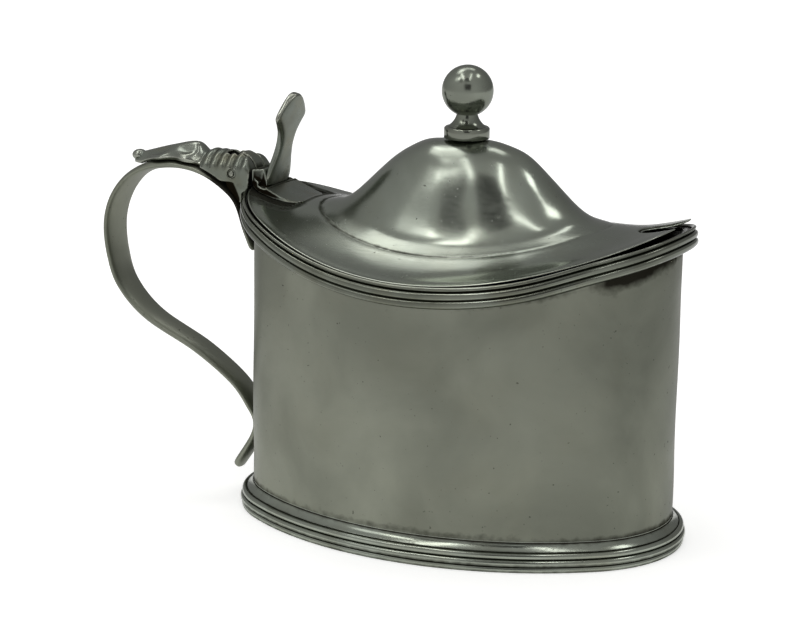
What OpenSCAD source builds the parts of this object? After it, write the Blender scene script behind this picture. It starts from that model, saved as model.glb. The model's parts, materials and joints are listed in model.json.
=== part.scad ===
// Oval drum mustard pot with a saddle rim, a domed lid on a hinge, a strap handle and a glass liner.
// The origin is the middle of the underside. +X points to the spoon notch, the handle is at -X, +Z is up.

/* [Drum] */
// Half the length of the oval drum
drum_half_l = 40; // [38:0.5:44]
// Half the width of the oval drum
drum_half_w = 26.4; // [24:0.2:30]
// Radius of the arcs at the two ends of the oval
drum_end_r = 19.5; // [17:0.5:22]
// Thickness of the drum's sheet
drum_wall = 0.8; // [0.6:0.1:1.2]
// Thickness of the bottom plate
plate_t = 0.9; // [0.6:0.1:1.5]
// Gap of a soldered joint between two pieces
seam = 0.04; // [0.02:0.01:0.08]

/* [Foot moulding] */
// Height of the foot moulding on the drum
foot_h = 5; // [4:0.1:6]
// How far the middle reed stands out from the drum
foot_out = 2.44; // [2:0.02:3]
// Radius of the foot's reeds
foot_reed_r = 0.62; // [0.5:0.02:0.7]

/* [Rim moulding] */
// Height of the rim at the middle of the long sides
rim_h = 49.05; // [44:0.05:56]
// How far the rim climbs from the middle to the ends of the drum
rim_rise = 8.2; // [5:0.1:9]
// How far the rim's lowest point lies towards the spoon end
rim_lean = 1.1; // [0:0.1:1.2]
// Height from one groove of the rim moulding to the next
rim_pitch = 1.4; // [1.2:0.02:1.8]
// How far the rim's lowest reed stands out from the drum
rim_out = 2.6; // [2.2:0.05:3]

/* [Glass liner] */
// Gap between the liner and the drum
liner_gap = 0.6; // [0.4:0.1:1]
// Thickness of the glass wall
liner_wall = 2.2; // [1.8:0.1:3]
// Thickness of the glass floor
liner_floor = 2.6; // [2:0.1:4]
// How far the liner's lip stays below the lowest part of the rim
liner_drop = 3.4; // [2:0.1:6]

/* [Lid] */
// Thickness of the lid's sheet
lid_t = 0.55; // [0.4:0.05:0.8]
// How far the lid reaches past the drum's outside
lid_out = 1.23; // [0.8:0.01:1.6]
// Gap between the lid and the rim at the middle of the long sides
lid_gap = 0.15; // [0.15:0.05:0.4]
// How much more the lid's edge climbs to the ends than the rim does
lid_lift = 0.9; // [0.9:0.1:2]
// Height of the wide sweep from the lid's edge up to the dome
skirt_h = 10.3; // [8:0.1:12]
// Height of the dome on top of that sweep
dome_h = 10.5; // [8:0.1:13]
// Half the length of the dome
dome_half_l = 27.7; // [24:0.1:30]
// Half the width of the dome
dome_half_w = 19; // [16:0.1:22]
// Width of the spoon notch at the lid's edge
notch_w = 8; // [7.4:0.1:9]
// Depth of the spoon notch, from the lid's edge
notch_l = 7.6; // [7:0.1:9]

/* [Finial] */
// Radius of the ball
ball_r = 4.6; // [3.8:0.1:5.4]
// Height of the ball's middle above the dome
ball_up = 8.5; // [7.8:0.1:10]
// Least radius of the neck under the ball
neck_r = 1.8; // [1.6:0.1:2.2]
// Radius of the flat collar
collar_r = 4.07; // [3.6:0.05:4.6]
// Height of the flat collar
collar_h = 2.1; // [1.6:0.1:2.4]
// Radius of the peg that holds the finial
peg_r = 0.85; // [0.7:0.05:1]

/* [Hinge] */
// Distance of the hinge pin behind the drum's end
pin_back = 5; // [4.8:0.1:5.6]
// Height of the hinge pin above the lid's edge
pin_up = 1.4; // [1.4:0.05:1.8]
// Radius of the hinge pin
pin_r = 0.8; // [0.6:0.05:0.85]
// Running clearance round the pin
pin_play = 0.04; // [0.02:0.01:0.08]
// Radius of the barrel round the pin
barrel_r = 1.6; // [1.5:0.05:1.7]
// Width of the moving knuckle
knuckle_w = 3; // [2.4:0.1:3.4]
// Gap on each side of the moving knuckle
knuckle_gap = 0.18; // [0.12:0.02:0.3]
// Width of the whole hinge
hinge_w = 9.2; // [8.6:0.1:10]
// Radius of the hinge's arched top, measured across the pot
arch_r = 5.4; // [5.2:0.1:5.8]
// Height of the reeds across the hinge
hinge_reed = 0.4; // [0.2:0.05:0.45]
// Distance from one reed of the hinge to the next
reed_pitch = 1.6; // [1.4:0.05:2]
// Length of the hinge block behind the pin
saddle_back = 6.9; // [6.2:0.1:7.6]

/* [Handle] */
// How far the handle reaches behind the drum
handle_reach = 31.5; // [28:0.1:36]
// Thickness of the handle's strap
strap_t = 1.8; // [1.4:0.1:2.2]
// Width of the strap over its arch
strap_top_w = 7.8; // [7:0.1:9]
// Width of the strap at its tail
strap_tail_w = 4.2; // [3.6:0.1:5.4]
// Length of the leaf, from the hinge block to its tip
leaf_l = 15.6; // [14:0.1:17]
// Height of the leaf above the strap
leaf_h = 3.6; // [3:0.1:4.2]
// Greatest width of the leaf
leaf_w = 10; // [8:0.1:11]

/* [Thumbpiece] */
// Height of the thumbpiece above the hinge pin
thumb_h = 15.7; // [13:0.1:18]
// Thickness of the thumbpiece
thumb_t = 1.6; // [1.3:0.1:2]
// Width across the thumbpiece's shoulders
thumb_w = 10.8; // [9:0.1:12.4]
// Distance of the thumbpiece in front of the hinge pin
thumb_front = 7; // [6.6:0.1:7.8]
// Angle by which the thumbpiece leans towards the dome
thumb_lean = 13; // [8:0.5:18]
// Thickness of the foot that holds the thumbpiece and the knuckle on the lid
thumb_foot_t = 1.6; // [1.2:0.1:2]
// Length of that foot
thumb_foot_l = 10.6; // [9.6:0.1:11.4]
// Greatest width of that foot
thumb_foot_w = 12.8; // [11.6:0.2:13.4]

/* [Hidden] */
$fn = 64;
eps = 0.01;

silver = "#8f918a";
silver_bright = "#a6a79f";
silver_dark = "#6f716a";
cobalt = "#1d2f8a";

// The oval is drawn with four arcs: two of drum_end_r, and two wide ones that meet them without a corner.
end_c = drum_half_l - drum_end_r;
side_r = (end_c * end_c + drum_half_w * drum_half_w - drum_end_r * drum_end_r)
    / (2 * (drum_half_w - drum_end_r));
side_c = side_r - drum_half_w;
end_turn = atan2(side_c, end_c);
side_turn = 180 - 2 * end_turn;

// The rim and the lid's edge are cut along wide cylinders that lie across the pot.
rim_r = (drum_half_l * drum_half_l + rim_rise * rim_rise) / (2 * rim_rise);
lid_h = rim_h + lid_gap + lid_t;
lid_rise = rim_rise + lid_lift;
lid_half_l = drum_half_l + lid_out;
lid_half_w = drum_half_w + lid_out;

// Two powers shape the dome: a higher dome_round flattens its top, a higher dome_sharp flares its foot.
dome_round = 3.5;
dome_sharp = 4;

hinge_x = -drum_half_l - pin_back;
hinge_z = lid_edge_z(lid_half_l) + pin_up;
dome_top = lid_z(0, 0);

function rim_z(x) = rim_h + rim_r - sqrt(rim_r * rim_r - (x - rim_lean) * (x - rim_lean));
function lid_edge_z(x) = lid_h + lid_rise * pow(x / drum_half_l, 2);

// Points round the oval, each with its outward direction: [x, y, direction x, direction y].
function half_oval(end_steps, side_steps) = concat(
    [for (i = [0 : end_steps - 1])
        let (a = end_turn * (2 * i / end_steps - 1))
        [end_c + drum_end_r * cos(a), drum_end_r * sin(a), cos(a), sin(a)]],
    [for (i = [0 : side_steps - 1])
        let (a = end_turn + side_turn * i / side_steps)
        [side_r * cos(a), side_r * sin(a) - side_c, cos(a), sin(a)]]);
function oval_path(end_steps, side_steps) =
    let (half = half_oval(end_steps, side_steps))
    concat(half, [for (p = half) -p]);

// A smooth curve through hand-placed points.
function curve_at(a, b, c, d, t) = 0.5 * (2 * b + (c - a) * t + (2 * a - 5 * b + 4 * c - d) * t * t
    + (3 * b - a - 3 * c + d) * t * t * t);
function curve(pts, steps) = let (last = len(pts) - 1) concat(
    [for (i = [0 : last - 1], k = [0 : steps - 1])
        curve_at(pts[max(i - 1, 0)], pts[i], pts[i + 1], pts[min(i + 2, last)], k / steps)],
    [pts[last]]);

// Triangles between neighbouring rows of a grid of points, with rows of the given length.
function strip(a, b, c, d) = [[a, b, c], [a, c, d]];
function tube_faces(rows, cols, closed) = [
    for (i = [0 : rows - (closed ? 1 : 2)], j = [0 : cols - 1])
        let (n = (i + 1) % rows, k = (j + 1) % cols)
        each strip(i * cols + j, i * cols + k, n * cols + k, n * cols + j)];
function cap_faces(rows, cols) = concat(
    [for (j = [1 : cols - 2]) [0, j + 1, j]],
    [for (j = [1 : cols - 2]) let (f = (rows - 1) * cols) [f, f + j, f + j + 1]]);

// The oval as a flat shape, grown outwards by a distance.
module oval(out) {
    meet_x = end_c + (drum_end_r + out) * cos(end_turn);
    for (side = [-1, 1])
        translate([side * end_c, 0]) circle(drum_end_r + out);
    intersection() {
        translate([0, -side_c]) circle(side_r + out, $fn = 180);
        translate([0, side_c]) circle(side_r + out, $fn = 180);
        square([2 * meet_x, 2 * side_r], center = true);
    }
}

module across(width) {
    rotate([90, 0, 0])
        linear_extrude(width, center = true) children();
}

// Drum
module drum() {
    color(silver)
        difference() {
            linear_extrude(rim_h + 2 * rim_rise)
                difference() {
                    oval(0);
                    oval(-drum_wall);
                }
            translate([rim_lean, 0, rim_h + rim_r])
                rotate([90, 0, 0])
                    cylinder(h = 4 * drum_half_w, r = rim_r, center = true, $fn = 360);
        }
}

module base_plate() {
    color(silver_dark)
        linear_extrude(plate_t) oval(-drum_wall - seam);
}

// Profile of a reed, as part of a circle from one angle down to another.
function reed(centre, r, from, to, steps) = [
    for (i = [0 : steps])
        let (a = from + (to - from) * i / steps)
        centre + r * [cos(a), sin(a)]];
// A reed gives way to the next one at this angle above and below its middle.
groove_turn = 65;

// Foot moulding: a cove over three reeds, the middle one widest. The lowest reed is filed flat underneath.
cove_turn = 110;
cove_bend = 1.8;
foot_cove_steps = 3;
foot_x = foot_out - foot_reed_r;
foot_low_z = 0.8 * foot_reed_r;
foot_step = 1.9 * foot_reed_r;
foot_top_reed = [foot_x - foot_reed_r / 2, foot_low_z + 2 * foot_step];
foot_mid_reed = [foot_x, foot_low_z + foot_step];
foot_low_reed = [foot_x - 0.4 * foot_reed_r, foot_low_z];
foot_cove_end = foot_top_reed + foot_reed_r * [cos(cove_turn), sin(cove_turn)];
foot_profile = concat(
    reed(foot_top_reed, foot_reed_r, cove_turn, -groove_turn, 5),
    reed(foot_mid_reed, foot_reed_r, groove_turn, -groove_turn, 4),
    reed(foot_low_reed, foot_reed_r, groove_turn, -asin(foot_low_z / foot_reed_r), 4),
    [[seam, 0]],
    [for (i = [0 : foot_cove_steps - 1])
        let (t = i / foot_cove_steps)
        [seam + (foot_cove_end[0] - seam) * pow(t, cove_bend), foot_h + (foot_cove_end[1] - foot_h) * t]]);

module foot_moulding() {
    path = oval_path(18, 30);
    points = [for (p = path, q = foot_profile) [p[0] + p[2] * q[0], p[1] + p[3] * q[0], q[1]]];
    color(silver_dark)
        polyhedron(points, tube_faces(len(path), len(foot_profile), true), convexity = 8);
}

// Rim moulding: three reeds over a small cove, along the saddle of the rim. The top reed is filed flat.
rim_reed_r = 0.53 * rim_pitch;
rim_top_z = 0.1 * rim_pitch;
rim_set_back = [0.32 * rim_pitch, 0.06 * rim_pitch, 0];
rim_low_turn = 80;
rim_cove_steps = 2;
rim_cove_h = 0.22 * rim_pitch;
function rim_reed_mid(index) = [rim_out - rim_reed_r - rim_set_back[index], rim_top_z - index * rim_pitch];
function rim_reed(index, from, to, steps) = reed(rim_reed_mid(index), rim_reed_r, from, to, steps);
rim_cove_top = rim_reed_mid(2) + rim_reed_r * [cos(rim_low_turn), -sin(rim_low_turn)];
rim_profile = concat(
    [[seam, 0]],
    rim_reed(0, -asin(rim_top_z / rim_reed_r), -groove_turn, 3),
    rim_reed(1, groove_turn, -groove_turn, 5),
    rim_reed(2, groove_turn, -rim_low_turn, 5),
    [for (i = [1 : rim_cove_steps])
        let (t = i / rim_cove_steps)
        [seam + (rim_cove_top[0] - seam) * pow(1 - t, cove_bend), rim_cove_top[1] - rim_cove_h * t]]);

module rim_moulding() {
    path = oval_path(18, 30);
    points = [for (p = path, q = rim_profile)
        let (x = p[0] + p[2] * q[0])
        [x, p[1] + p[3] * q[0], rim_z(x) + q[1]]];
    color(silver_bright)
        polyhedron(points, tube_faces(len(path), len(rim_profile), true), convexity = 8);
}

// Glass liner: a loose oval cup that stands on the bottom plate.
liner_out = -drum_wall - liner_gap;
liner_top = rim_h - liner_drop;

module glass_liner() {
    color(cobalt, 0.6)
        difference() {
            translate([0, 0, plate_t])
                linear_extrude(liner_top - plate_t) oval(liner_out);
            translate([0, 0, plate_t + liner_floor])
                linear_extrude(liner_top) oval(liner_out - liner_wall);
        }
}

// Handle strap: its line as distance behind the drum and height, drawn from the rim to the tail. It keeps
// its full width over the arch and tapers over the rest, and both ends are rounded.
strap_line = [[0, 46.5], [1.6, 50.2], [3.3, 54.8], [5.6, 57.3], [9.9, 59.8], [14.2, 60.9], [18.7, 60.9],
    [23.2, 59.9], [27.1, 57.6], [30.1, 53.6], [31.5, 48.6], [31, 42.6], [28.8, 36.7], [23.1, 31.2],
    [12.6, 26], [4.9, 20.7], [1.4, 16.3], [0.1, 13.5], [0.8, 10.3], [4, 5.2], [5, 3.7]];
strap_line_reach = 31.5;
strap_line_h = 60.6;
strap_steps = 5;
// Share of the strap that tapers, corner radius of its upper end, and share of its half thickness that is
// rounded off its edges. A rounded end keeps a small blunt face, as a share of its radius.
strap_taper = 0.55;
strap_end_r = 1.2;
strap_edge = 0.55;
end_blunt = 0.25;
strap_x = -drum_half_l - seam - strap_t / 2;
strap_mid = curve([for (p = strap_line)
    [strap_x - p[0] * handle_reach / strap_line_reach, 0, p[1] * hinge_z / strap_line_h]], strap_steps);
strap_count = len(strap_mid);

function strap_normal(i) =
    let (d = strap_mid[min(i + 1, strap_count - 1)] - strap_mid[max(i - 1, 0)])
    [d[2], 0, -d[0]] / norm(d);
function rounded_end(d, half, r) =
    half - r + sqrt(max(r * r - pow(max(r - d, 0), 2), pow(end_blunt * r, 2)));
function strap_half_w(i) =
    let (grow = min((1 - i / (strap_count - 1)) / strap_taper, 1))
    let (half = (strap_tail_w + (strap_top_w - strap_tail_w) * grow) / 2)
    min(rounded_end(norm(strap_mid[i] - strap_mid[0]), half, strap_end_r),
        rounded_end(norm(strap_mid[i] - strap_mid[strap_count - 1]), half, half));
function strap_half_t(i) =
    rounded_end(norm(strap_mid[i] - strap_mid[strap_count - 1]), strap_t / 2, strap_t / 2);

// Height of the strap's upper face at a place on its arch.
strap_arch = [for (i = [1 : 10 * strap_steps])
    let (p = strap_mid[i] + strap_normal(i) * strap_t / 2)
    [-p[0], p[2]]];
function strap_top_z(x) = lookup(-x, strap_arch);

module handle_strap() {
    section = [[1, -0.5], [1, 0.5], [0.5, 1], [-0.5, 1], [-1, 0.5], [-1, -0.5], [-0.5, -1], [0.5, -1]];
    points = [for (i = [0 : strap_count - 1])
        let (p = strap_mid[i], n = strap_normal(i), half_w = strap_half_w(i), half_t = strap_half_t(i))
        let (edge = min(half_w, half_t) * strap_edge)
        each [for (q = section)
            let (y = abs(q[0]) == 1 ? q[0] * half_w : sign(q[0]) * (half_w - edge))
            let (out = abs(q[1]) == 1 ? q[1] * half_t : sign(q[1]) * (half_t - edge))
            p + n * out + [0, y, 0]]];
    color(silver)
        polyhedron(points, concat(tube_faces(strap_count, len(section), false),
            cap_faces(strap_count, len(section))), convexity = 8);
}

// Leaf on the strap's arch, from its free tip to the hinge: a middle rib with two hollowed lobes a side.
// Crest points are shares of leaf_l behind the hinge block, and shares of leaf_h.
leaf_crest = [[1, 0.1], [0.88, 0.24], [0.6, 0.6], [0.43, 0.79], [0.27, 0.96], [0.165, 1], [0.1, 0.9],
    [0.03, 0.56], [0, 0.5]];
leaf_x = hinge_x - saddle_back - seam;
leaf_base_z = hinge_z + 0.3 * leaf_h;
leaf_least_t = 0.3;
// Places of the two lobes along the leaf, and how deep and wide their hollows are.
leaf_lobes = [0.22, 0.6];
leaf_hollow = 0.36;
leaf_hollow_l = 0.13;
leaf_hollow_w = 0.26;
leaf_hollow_mid = 0.56;
leaf_bead_r = 1.05;

function bell(d, width) = exp(-pow(d / width, 2));
function leaf_half(u) =
    let (lobe_step = leaf_lobes[1] - leaf_lobes[0])
    leaf_w / 2 * (0.16 + 0.68 * sin(min(150 * (1 - u), 100)))
        * (1 + 0.1 * cos(360 * (u - leaf_lobes[0]) / lobe_step));
function leaf_arch(u, s) =
    let (dip = bell(u - leaf_lobes[0], leaf_hollow_l) + bell(u - leaf_lobes[1], leaf_hollow_l))
    1 - pow(abs(s), 2.2) - leaf_hollow * dip * bell(abs(s) - leaf_hollow_mid, leaf_hollow_w);

module handle_leaf() {
    crest = curve(leaf_crest, 4);
    last = len(crest) - 1;
    across_steps = 14;
    rows = [for (c = crest)
        let (u = c[0], x = leaf_x - u * leaf_l, half = leaf_half(u))
        let (low = max(strap_top_z(x) + seam, hinge_z - leaf_least_t))
        let (edge = max(low + leaf_least_t, low + 0.22 * (leaf_base_z + leaf_h * c[1] - low)))
        let (top = max(leaf_base_z + leaf_h * c[1], edge + leaf_least_t))
        concat(
            [for (k = [0 : across_steps])
                let (s = 2 * k / across_steps - 1)
                [x, s * half, edge + (top - edge) * leaf_arch(u, s)]],
            [[x, half * 0.9, low], [x, -half * 0.9, low]])];
    cols = across_steps + 3;
    color(silver)
        union() {
            polyhedron([for (row = rows) each row],
                concat(tube_faces(last + 1, cols, false), cap_faces(last + 1, cols)), convexity = 6);
            translate([leaf_x - leaf_l + leaf_bead_r / 4, 0, leaf_base_z])
                sphere(leaf_bead_r);
        }
}

// Hinge: an arched and reeded block. Two fixed cheeks hold the pin, the lid's knuckle turns between them.
knuckle_reach = arch_r - barrel_r;
reed_r = reed_pitch * 0.56;
arch_z = hinge_z - barrel_r;
arch_front = knuckle_reach + seam;
reed_count = floor((saddle_back + arch_front) / reed_pitch);
reed_mid = (arch_front - saddle_back) / 2;

// The arched top as a body of revolution about a line along the pot, with a rounded reed at each pitch.
module hinge_arch() {
    translate([hinge_x, 0, arch_z])
        rotate([0, 90, 0])
            rotate_extrude($fn = 96) {
                translate([0, -saddle_back]) square([arch_r - hinge_reed, saddle_back + arch_front]);
                for (i = [0 : reed_count - 1])
                    translate([arch_r - reed_r, reed_mid + (i - (reed_count - 1) / 2) * reed_pitch])
                        circle(reed_r);
            }
}

// Outline of the hinge block seen from the side, with the pin at its origin.
module barrel_side(reach) {
    intersection() {
        circle(reach);
        translate([-reach, -barrel_r]) square([2 * reach, reach + barrel_r]);
    }
}

module hinge_bore(play) {
    translate([hinge_x, 0, hinge_z])
        rotate([90, 0, 0])
            cylinder(h = 2 * hinge_w, r = pin_r + play, center = true);
}

// The slot for the knuckle is open on top, back to where the whole arch stands above the knuckle's sweep.
slot_reach = knuckle_reach + knuckle_gap;
slot_half = knuckle_w / 2 + knuckle_gap;
arch_low = sqrt(pow(arch_r - hinge_reed, 2) - slot_half * slot_half) - barrel_r;
slot_open = sqrt(max(slot_reach * slot_reach - arch_low * arch_low, 0));

// The block's underside lies on the strap, and is level where the strap falls away below the barrel.
saddle_steps = 14;
saddle_under = [for (i = [0 : saddle_steps])
    let (x = -saddle_back * (1 - i / saddle_steps))
    [x, max(strap_top_z(hinge_x + x) + seam - hinge_z, -barrel_r)]];

module hinge_saddle() {
    cheek_reach = knuckle_reach - seam;
    color(silver_dark)
        difference() {
            intersection() {
                hinge_arch();
                translate([hinge_x, 0, hinge_z])
                    across(hinge_w)
                        intersection() {
                            union() {
                                barrel_side(cheek_reach);
                                translate([-saddle_back, -barrel_r]) square([saddle_back, 2 * arch_r]);
                            }
                            polygon(concat(saddle_under, [[arch_front, -barrel_r], [arch_front, arch_r],
                                [-saddle_back, arch_r]]));
                        }
            }
            translate([hinge_x, 0, hinge_z])
                across(2 * slot_half)
                    union() {
                        circle(slot_reach);
                        translate([-slot_open, 0]) square(2 * arch_r);
                        translate([0, -2 * arch_r]) square(4 * arch_r);
                    }
            hinge_bore(pin_play / 2);
        }
}

// The pin's ends stand a little proud of the cheeks.
pin_proud = 0.1;

module hinge_pin() {
    color(silver_bright)
        translate([hinge_x, 0, hinge_z])
            rotate([90, 0, 0])
                cylinder(h = hinge_w + 2 * pin_proud, r = pin_r, center = true);
}

// Lid: one sheet that sweeps from the saddle edge up into the dome.
function lid_z(x, y) =
    let (edge = 1 - pow(x / lid_half_l, 2) - pow(y / lid_half_w, 2))
    let (in_dome = 1 - pow(min(norm([x / dome_half_l, y / dome_half_w]), 1), dome_round))
    lid_edge_z(x) + skirt_h * pow(max(edge, 0), 2) + dome_h * pow(in_dome, dome_sharp);
function lid_slope(x, y) =
    let (step = 0.1)
    norm([lid_z(x + step, y) - lid_z(x - step, y), lid_z(x, y + step) - lid_z(x, y - step)]) / (2 * step);
function lid_under(x, y) = lid_z(x, y) - lid_t * sqrt(1 + pow(lid_slope(x, y), 2));

module lid_sheet() {
    path = oval_path(12, 20);
    rings = 15;
    count = len(path);
    top = [for (k = [0 : rings - 1], p = path)
        let (share = 1 - k / (rings - 0.4))
        let (x = share * (p[0] + p[2] * lid_out), y = share * (p[1] + p[3] * lid_out))
        [x, y, lid_z(x, y)]];
    low = [for (p = top) [p[0], p[1], lid_under(p[0], p[1])]];
    size = rings * count;
    points = concat(top, low, [[0, 0, lid_z(0, 0)], [0, 0, lid_z(0, 0) - lid_t]]);
    faces = [
        for (k = [0 : rings - 2], i = [0 : count - 1])
            let (a = k * count + i, b = k * count + (i + 1) % count)
            each concat(strip(a, a + count, b + count, b),
                strip(size + a, size + b, size + b + count, size + a + count)),
        for (i = [0 : count - 1])
            let (n = (i + 1) % count, inner = (rings - 1) * count)
            each concat(strip(i, n, size + n, size + i),
                [[inner + i, 2 * size, inner + n], [size + inner + i, size + inner + n, 2 * size + 1]])];
    polyhedron(points, faces, convexity = 6);
}

// Spoon notch: wide at the lid's edge, with a round inner end.
module spoon_notch() {
    inner_r = notch_w * 0.37;
    mouth_x = lid_half_l + 1;
    translate([0, 0, rim_h])
        linear_extrude(2 * lid_rise) {
            translate([lid_half_l - notch_l + inner_r, 0]) circle(inner_r);
            polygon([[lid_half_l - notch_l + inner_r, -inner_r], [mouth_x, -notch_w / 2],
                [mouth_x, notch_w / 2], [lid_half_l - notch_l + inner_r, inner_r]]);
        }
}

module lid() {
    color(silver_bright)
        difference() {
            lid_sheet();
            spoon_notch();
            translate([0, 0, dome_top - 4 * lid_t]) cylinder(h = 8 * lid_t, r = peg_r + seam);
        }
}

// Tongue: the moving knuckle, its arm and the wide foot that lies on the lid.
foot_inset = 0.5;
foot_gap = 2 * seam;
foot_back = lid_half_l - foot_inset;
// Half the foot's width at shares of its length, as shares of thumb_foot_w.
foot_plan = [[0, 0.33], [0.12, 0.45], [0.25, 0.5], [0.7, 0.49], [0.85, 0.46], [0.95, 0.38], [1, 0.27]];
// Share of the foot's thickness that is gone at its front, and share of its width that is left on top.
foot_thin = 0.7;
foot_top = 0.94;
function foot_half(t) = thumb_foot_w * lookup(t, foot_plan);
function foot_thick(t) = thumb_foot_t * (1 - foot_thin * t * t);

module tongue_foot() {
    rows = 12;
    cols = 6;
    under = [for (i = [0 : rows], k = [0 : cols])
        let (t = i / rows, x = -foot_back + thumb_foot_l * t, y = foot_half(t) * (2 * k / cols - 1))
        [x, y, lid_z(x, y) + foot_gap]];
    over = [for (p = under)
        let (t = (p[0] + foot_back) / thumb_foot_l)
        [p[0], p[1] * foot_top, p[2] + foot_thick(t)]];
    line = cols + 1;
    n = len(under);
    edge = concat([for (k = [0 : cols]) k], [for (i = [1 : rows]) i * line + cols],
        [for (k = [1 : cols]) rows * line + cols - k], [for (i = [1 : rows - 1]) (rows - i) * line]);
    faces = [
        for (i = [0 : rows - 1], k = [0 : cols - 1])
            let (a = i * line + k)
            each concat(strip(a, a + line, a + line + 1, a + 1),
                strip(n + a, n + a + 1, n + a + line + 1, n + a + line)),
        for (j = [0 : len(edge) - 1])
            let (a = edge[j], b = edge[(j + 1) % len(edge)])
            each strip(a, b, n + b, n + a)];
    polyhedron(concat(under, over), faces, convexity = 4);
}

// The arm from the knuckle to the foot: its start and end in the foot, its shoulder, and its underside
// that passes over the lid's edge.
arm_start = -foot_back + foot_inset;
arm_end = -foot_back + thumb_foot_l / 3;
arm_shoulder = [-foot_back - 1.8 * foot_inset, hinge_z + 0.6 * foot_inset];
arm_low = [-lid_half_l - foot_inset, hinge_z - barrel_r];
arm_over_edge = [-lid_half_l - seam, lid_edge_z(lid_half_l) + 3 * seam];
// A shelf as wide as the hinge backs the thumbpiece: its gap to the cheeks, and its height above the pin
// at the back and at the thumbpiece.
shelf_gap = 0.6;
shelf_up = [1.2, 1.5];
shelf_back = hinge_x + knuckle_reach + shelf_gap;

module hinge_tongue() {
    color(silver)
        difference() {
            union() {
                intersection() {
                    hinge_arch();
                    translate([hinge_x, 0, hinge_z])
                        across(knuckle_w)
                            intersection() {
                                barrel_side(knuckle_reach);
                                translate([0, -arch_r]) square(2 * arch_r);
                            }
                }
                translate([hinge_x, 0, hinge_z])
                    across(knuckle_w) circle(barrel_r);
                across(knuckle_w)
                    polygon([[hinge_x, hinge_z - barrel_r], [hinge_x, hinge_z], arm_shoulder,
                        [arm_end, lid_z(arm_end, 0) + thumb_foot_t],
                        [arm_end, lid_z(arm_end, 0) + thumb_foot_t / 2],
                        [arm_start, lid_z(arm_start, 0) + thumb_foot_t / 2], arm_over_edge, arm_low]);
                across(hinge_w)
                    polygon([[shelf_back, hinge_z + shelf_up[0]], [thumb_x, hinge_z + shelf_up[1]],
                        [thumb_x, lid_z(thumb_x, 0) + thumb_foot_t / 2],
                        [shelf_back, lid_z(shelf_back, 0) + thumb_foot_t / 2]]);
                tongue_foot();
            }
            hinge_bore(pin_play);
            thumb_pocket();
        }
}

// Thumbpiece: a flat spade with a waist, sloping shoulders and a blunt tip, leaning towards the dome.
thumb_x = hinge_x + thumb_front;
thumb_base = hinge_z - barrel_r;
thumb_outline = [[0.38, 0], [0.4, 0.09], [0.35, 0.2], [0.275, 0.33], [0.245, 0.45], [0.29, 0.57],
    [0.41, 0.67], [0.5, 0.745], [0.42, 0.835], [0.27, 0.93], [0.1, 0.99], [0, 1]];

// The cut across the foot and the shelf that the thumbpiece stands in.
module thumb_pocket() {
    translate([thumb_x, 0, thumb_base])
        rotate([0, thumb_lean, 0])
            translate([-thumb_t / 2 - seam, -thumb_w, -seam])
                cube([thumb_t + 2 * seam, 2 * thumb_w, thumb_h]);
}

module thumbpiece() {
    height = thumb_h + hinge_z - thumb_base;
    right = [for (p = curve(thumb_outline, 3)) [p[0] * thumb_w, p[1] * height]];
    left = [for (i = [len(right) - 2 : -1 : 0]) [-right[i][0], right[i][1]]];
    color(silver)
        translate([thumb_x, 0, thumb_base])
            rotate([0, thumb_lean, 0])
                rotate([90, 0, 90])
                    linear_extrude(thumb_t, center = true) polygon(concat(right, left));
}

// Finial: a turned collar, a turned ball on a trumpet neck, and the peg that is riveted under the dome.
collar_z = dome_top + seam;
neck_z = collar_z + collar_h;
ball_z = dome_top + ball_up;
peg_top = ball_z;

module finial_collar() {
    bevel = 0.25;
    color(silver_bright)
        translate([0, 0, collar_z])
            difference() {
                rotate_extrude()
                    polygon([[0, 0], [collar_r, 0], [collar_r, collar_h - bevel],
                        [collar_r - bevel, collar_h], [0, collar_h]]);
                translate([0, 0, -eps]) cylinder(h = collar_h + 2 * eps, r = peg_r + seam);
            }
}

module finial_ball() {
    flare = collar_r * 0.84;
    neck_gap = ball_z - neck_z;
    hollow_r = (pow(flare - neck_r, 2) + pow(neck_gap * 0.45, 2)) / (2 * (flare - neck_r));
    color(silver_bright)
        difference() {
            union() {
                translate([0, 0, ball_z]) sphere(ball_r, $fn = 96);
                rotate_extrude()
                    difference() {
                        translate([0, neck_z + seam]) square([flare, neck_gap]);
                        translate([neck_r + hollow_r, neck_z + neck_gap * 0.45]) circle(hollow_r, $fn = 96);
                        translate([neck_r + hollow_r * 0.3, neck_z + neck_gap * 0.45]) square(2 * flare);
                    }
            }
            cylinder(h = peg_top + seam, r = peg_r + seam);
        }
}

module finial_peg() {
    head_r = 2 * peg_r;
    head_t = 0.6;
    under = lid_under(0, head_r) - seam;
    color(silver_dark)
        union() {
            translate([0, 0, under - head_t / 2]) cylinder(h = peg_top - under + head_t / 2, r = peg_r);
            translate([0, 0, under - head_t]) cylinder(h = head_t, r1 = head_r * 0.7, r2 = head_r);
        }
}

drum();
base_plate();
foot_moulding();
rim_moulding();
glass_liner();
handle_strap();
handle_leaf();
hinge_saddle();
hinge_pin();
lid();
hinge_tongue();
thumbpiece();
finial_collar();
finial_ball();
finial_peg();
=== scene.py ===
"""The looks of an oval mustard pot in old silver, built piece by piece over its frame."""

import json
import math
from contextlib import contextmanager
from types import SimpleNamespace

import bmesh
import bpy
import numpy as np
from mathutils import Matrix, Vector


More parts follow.
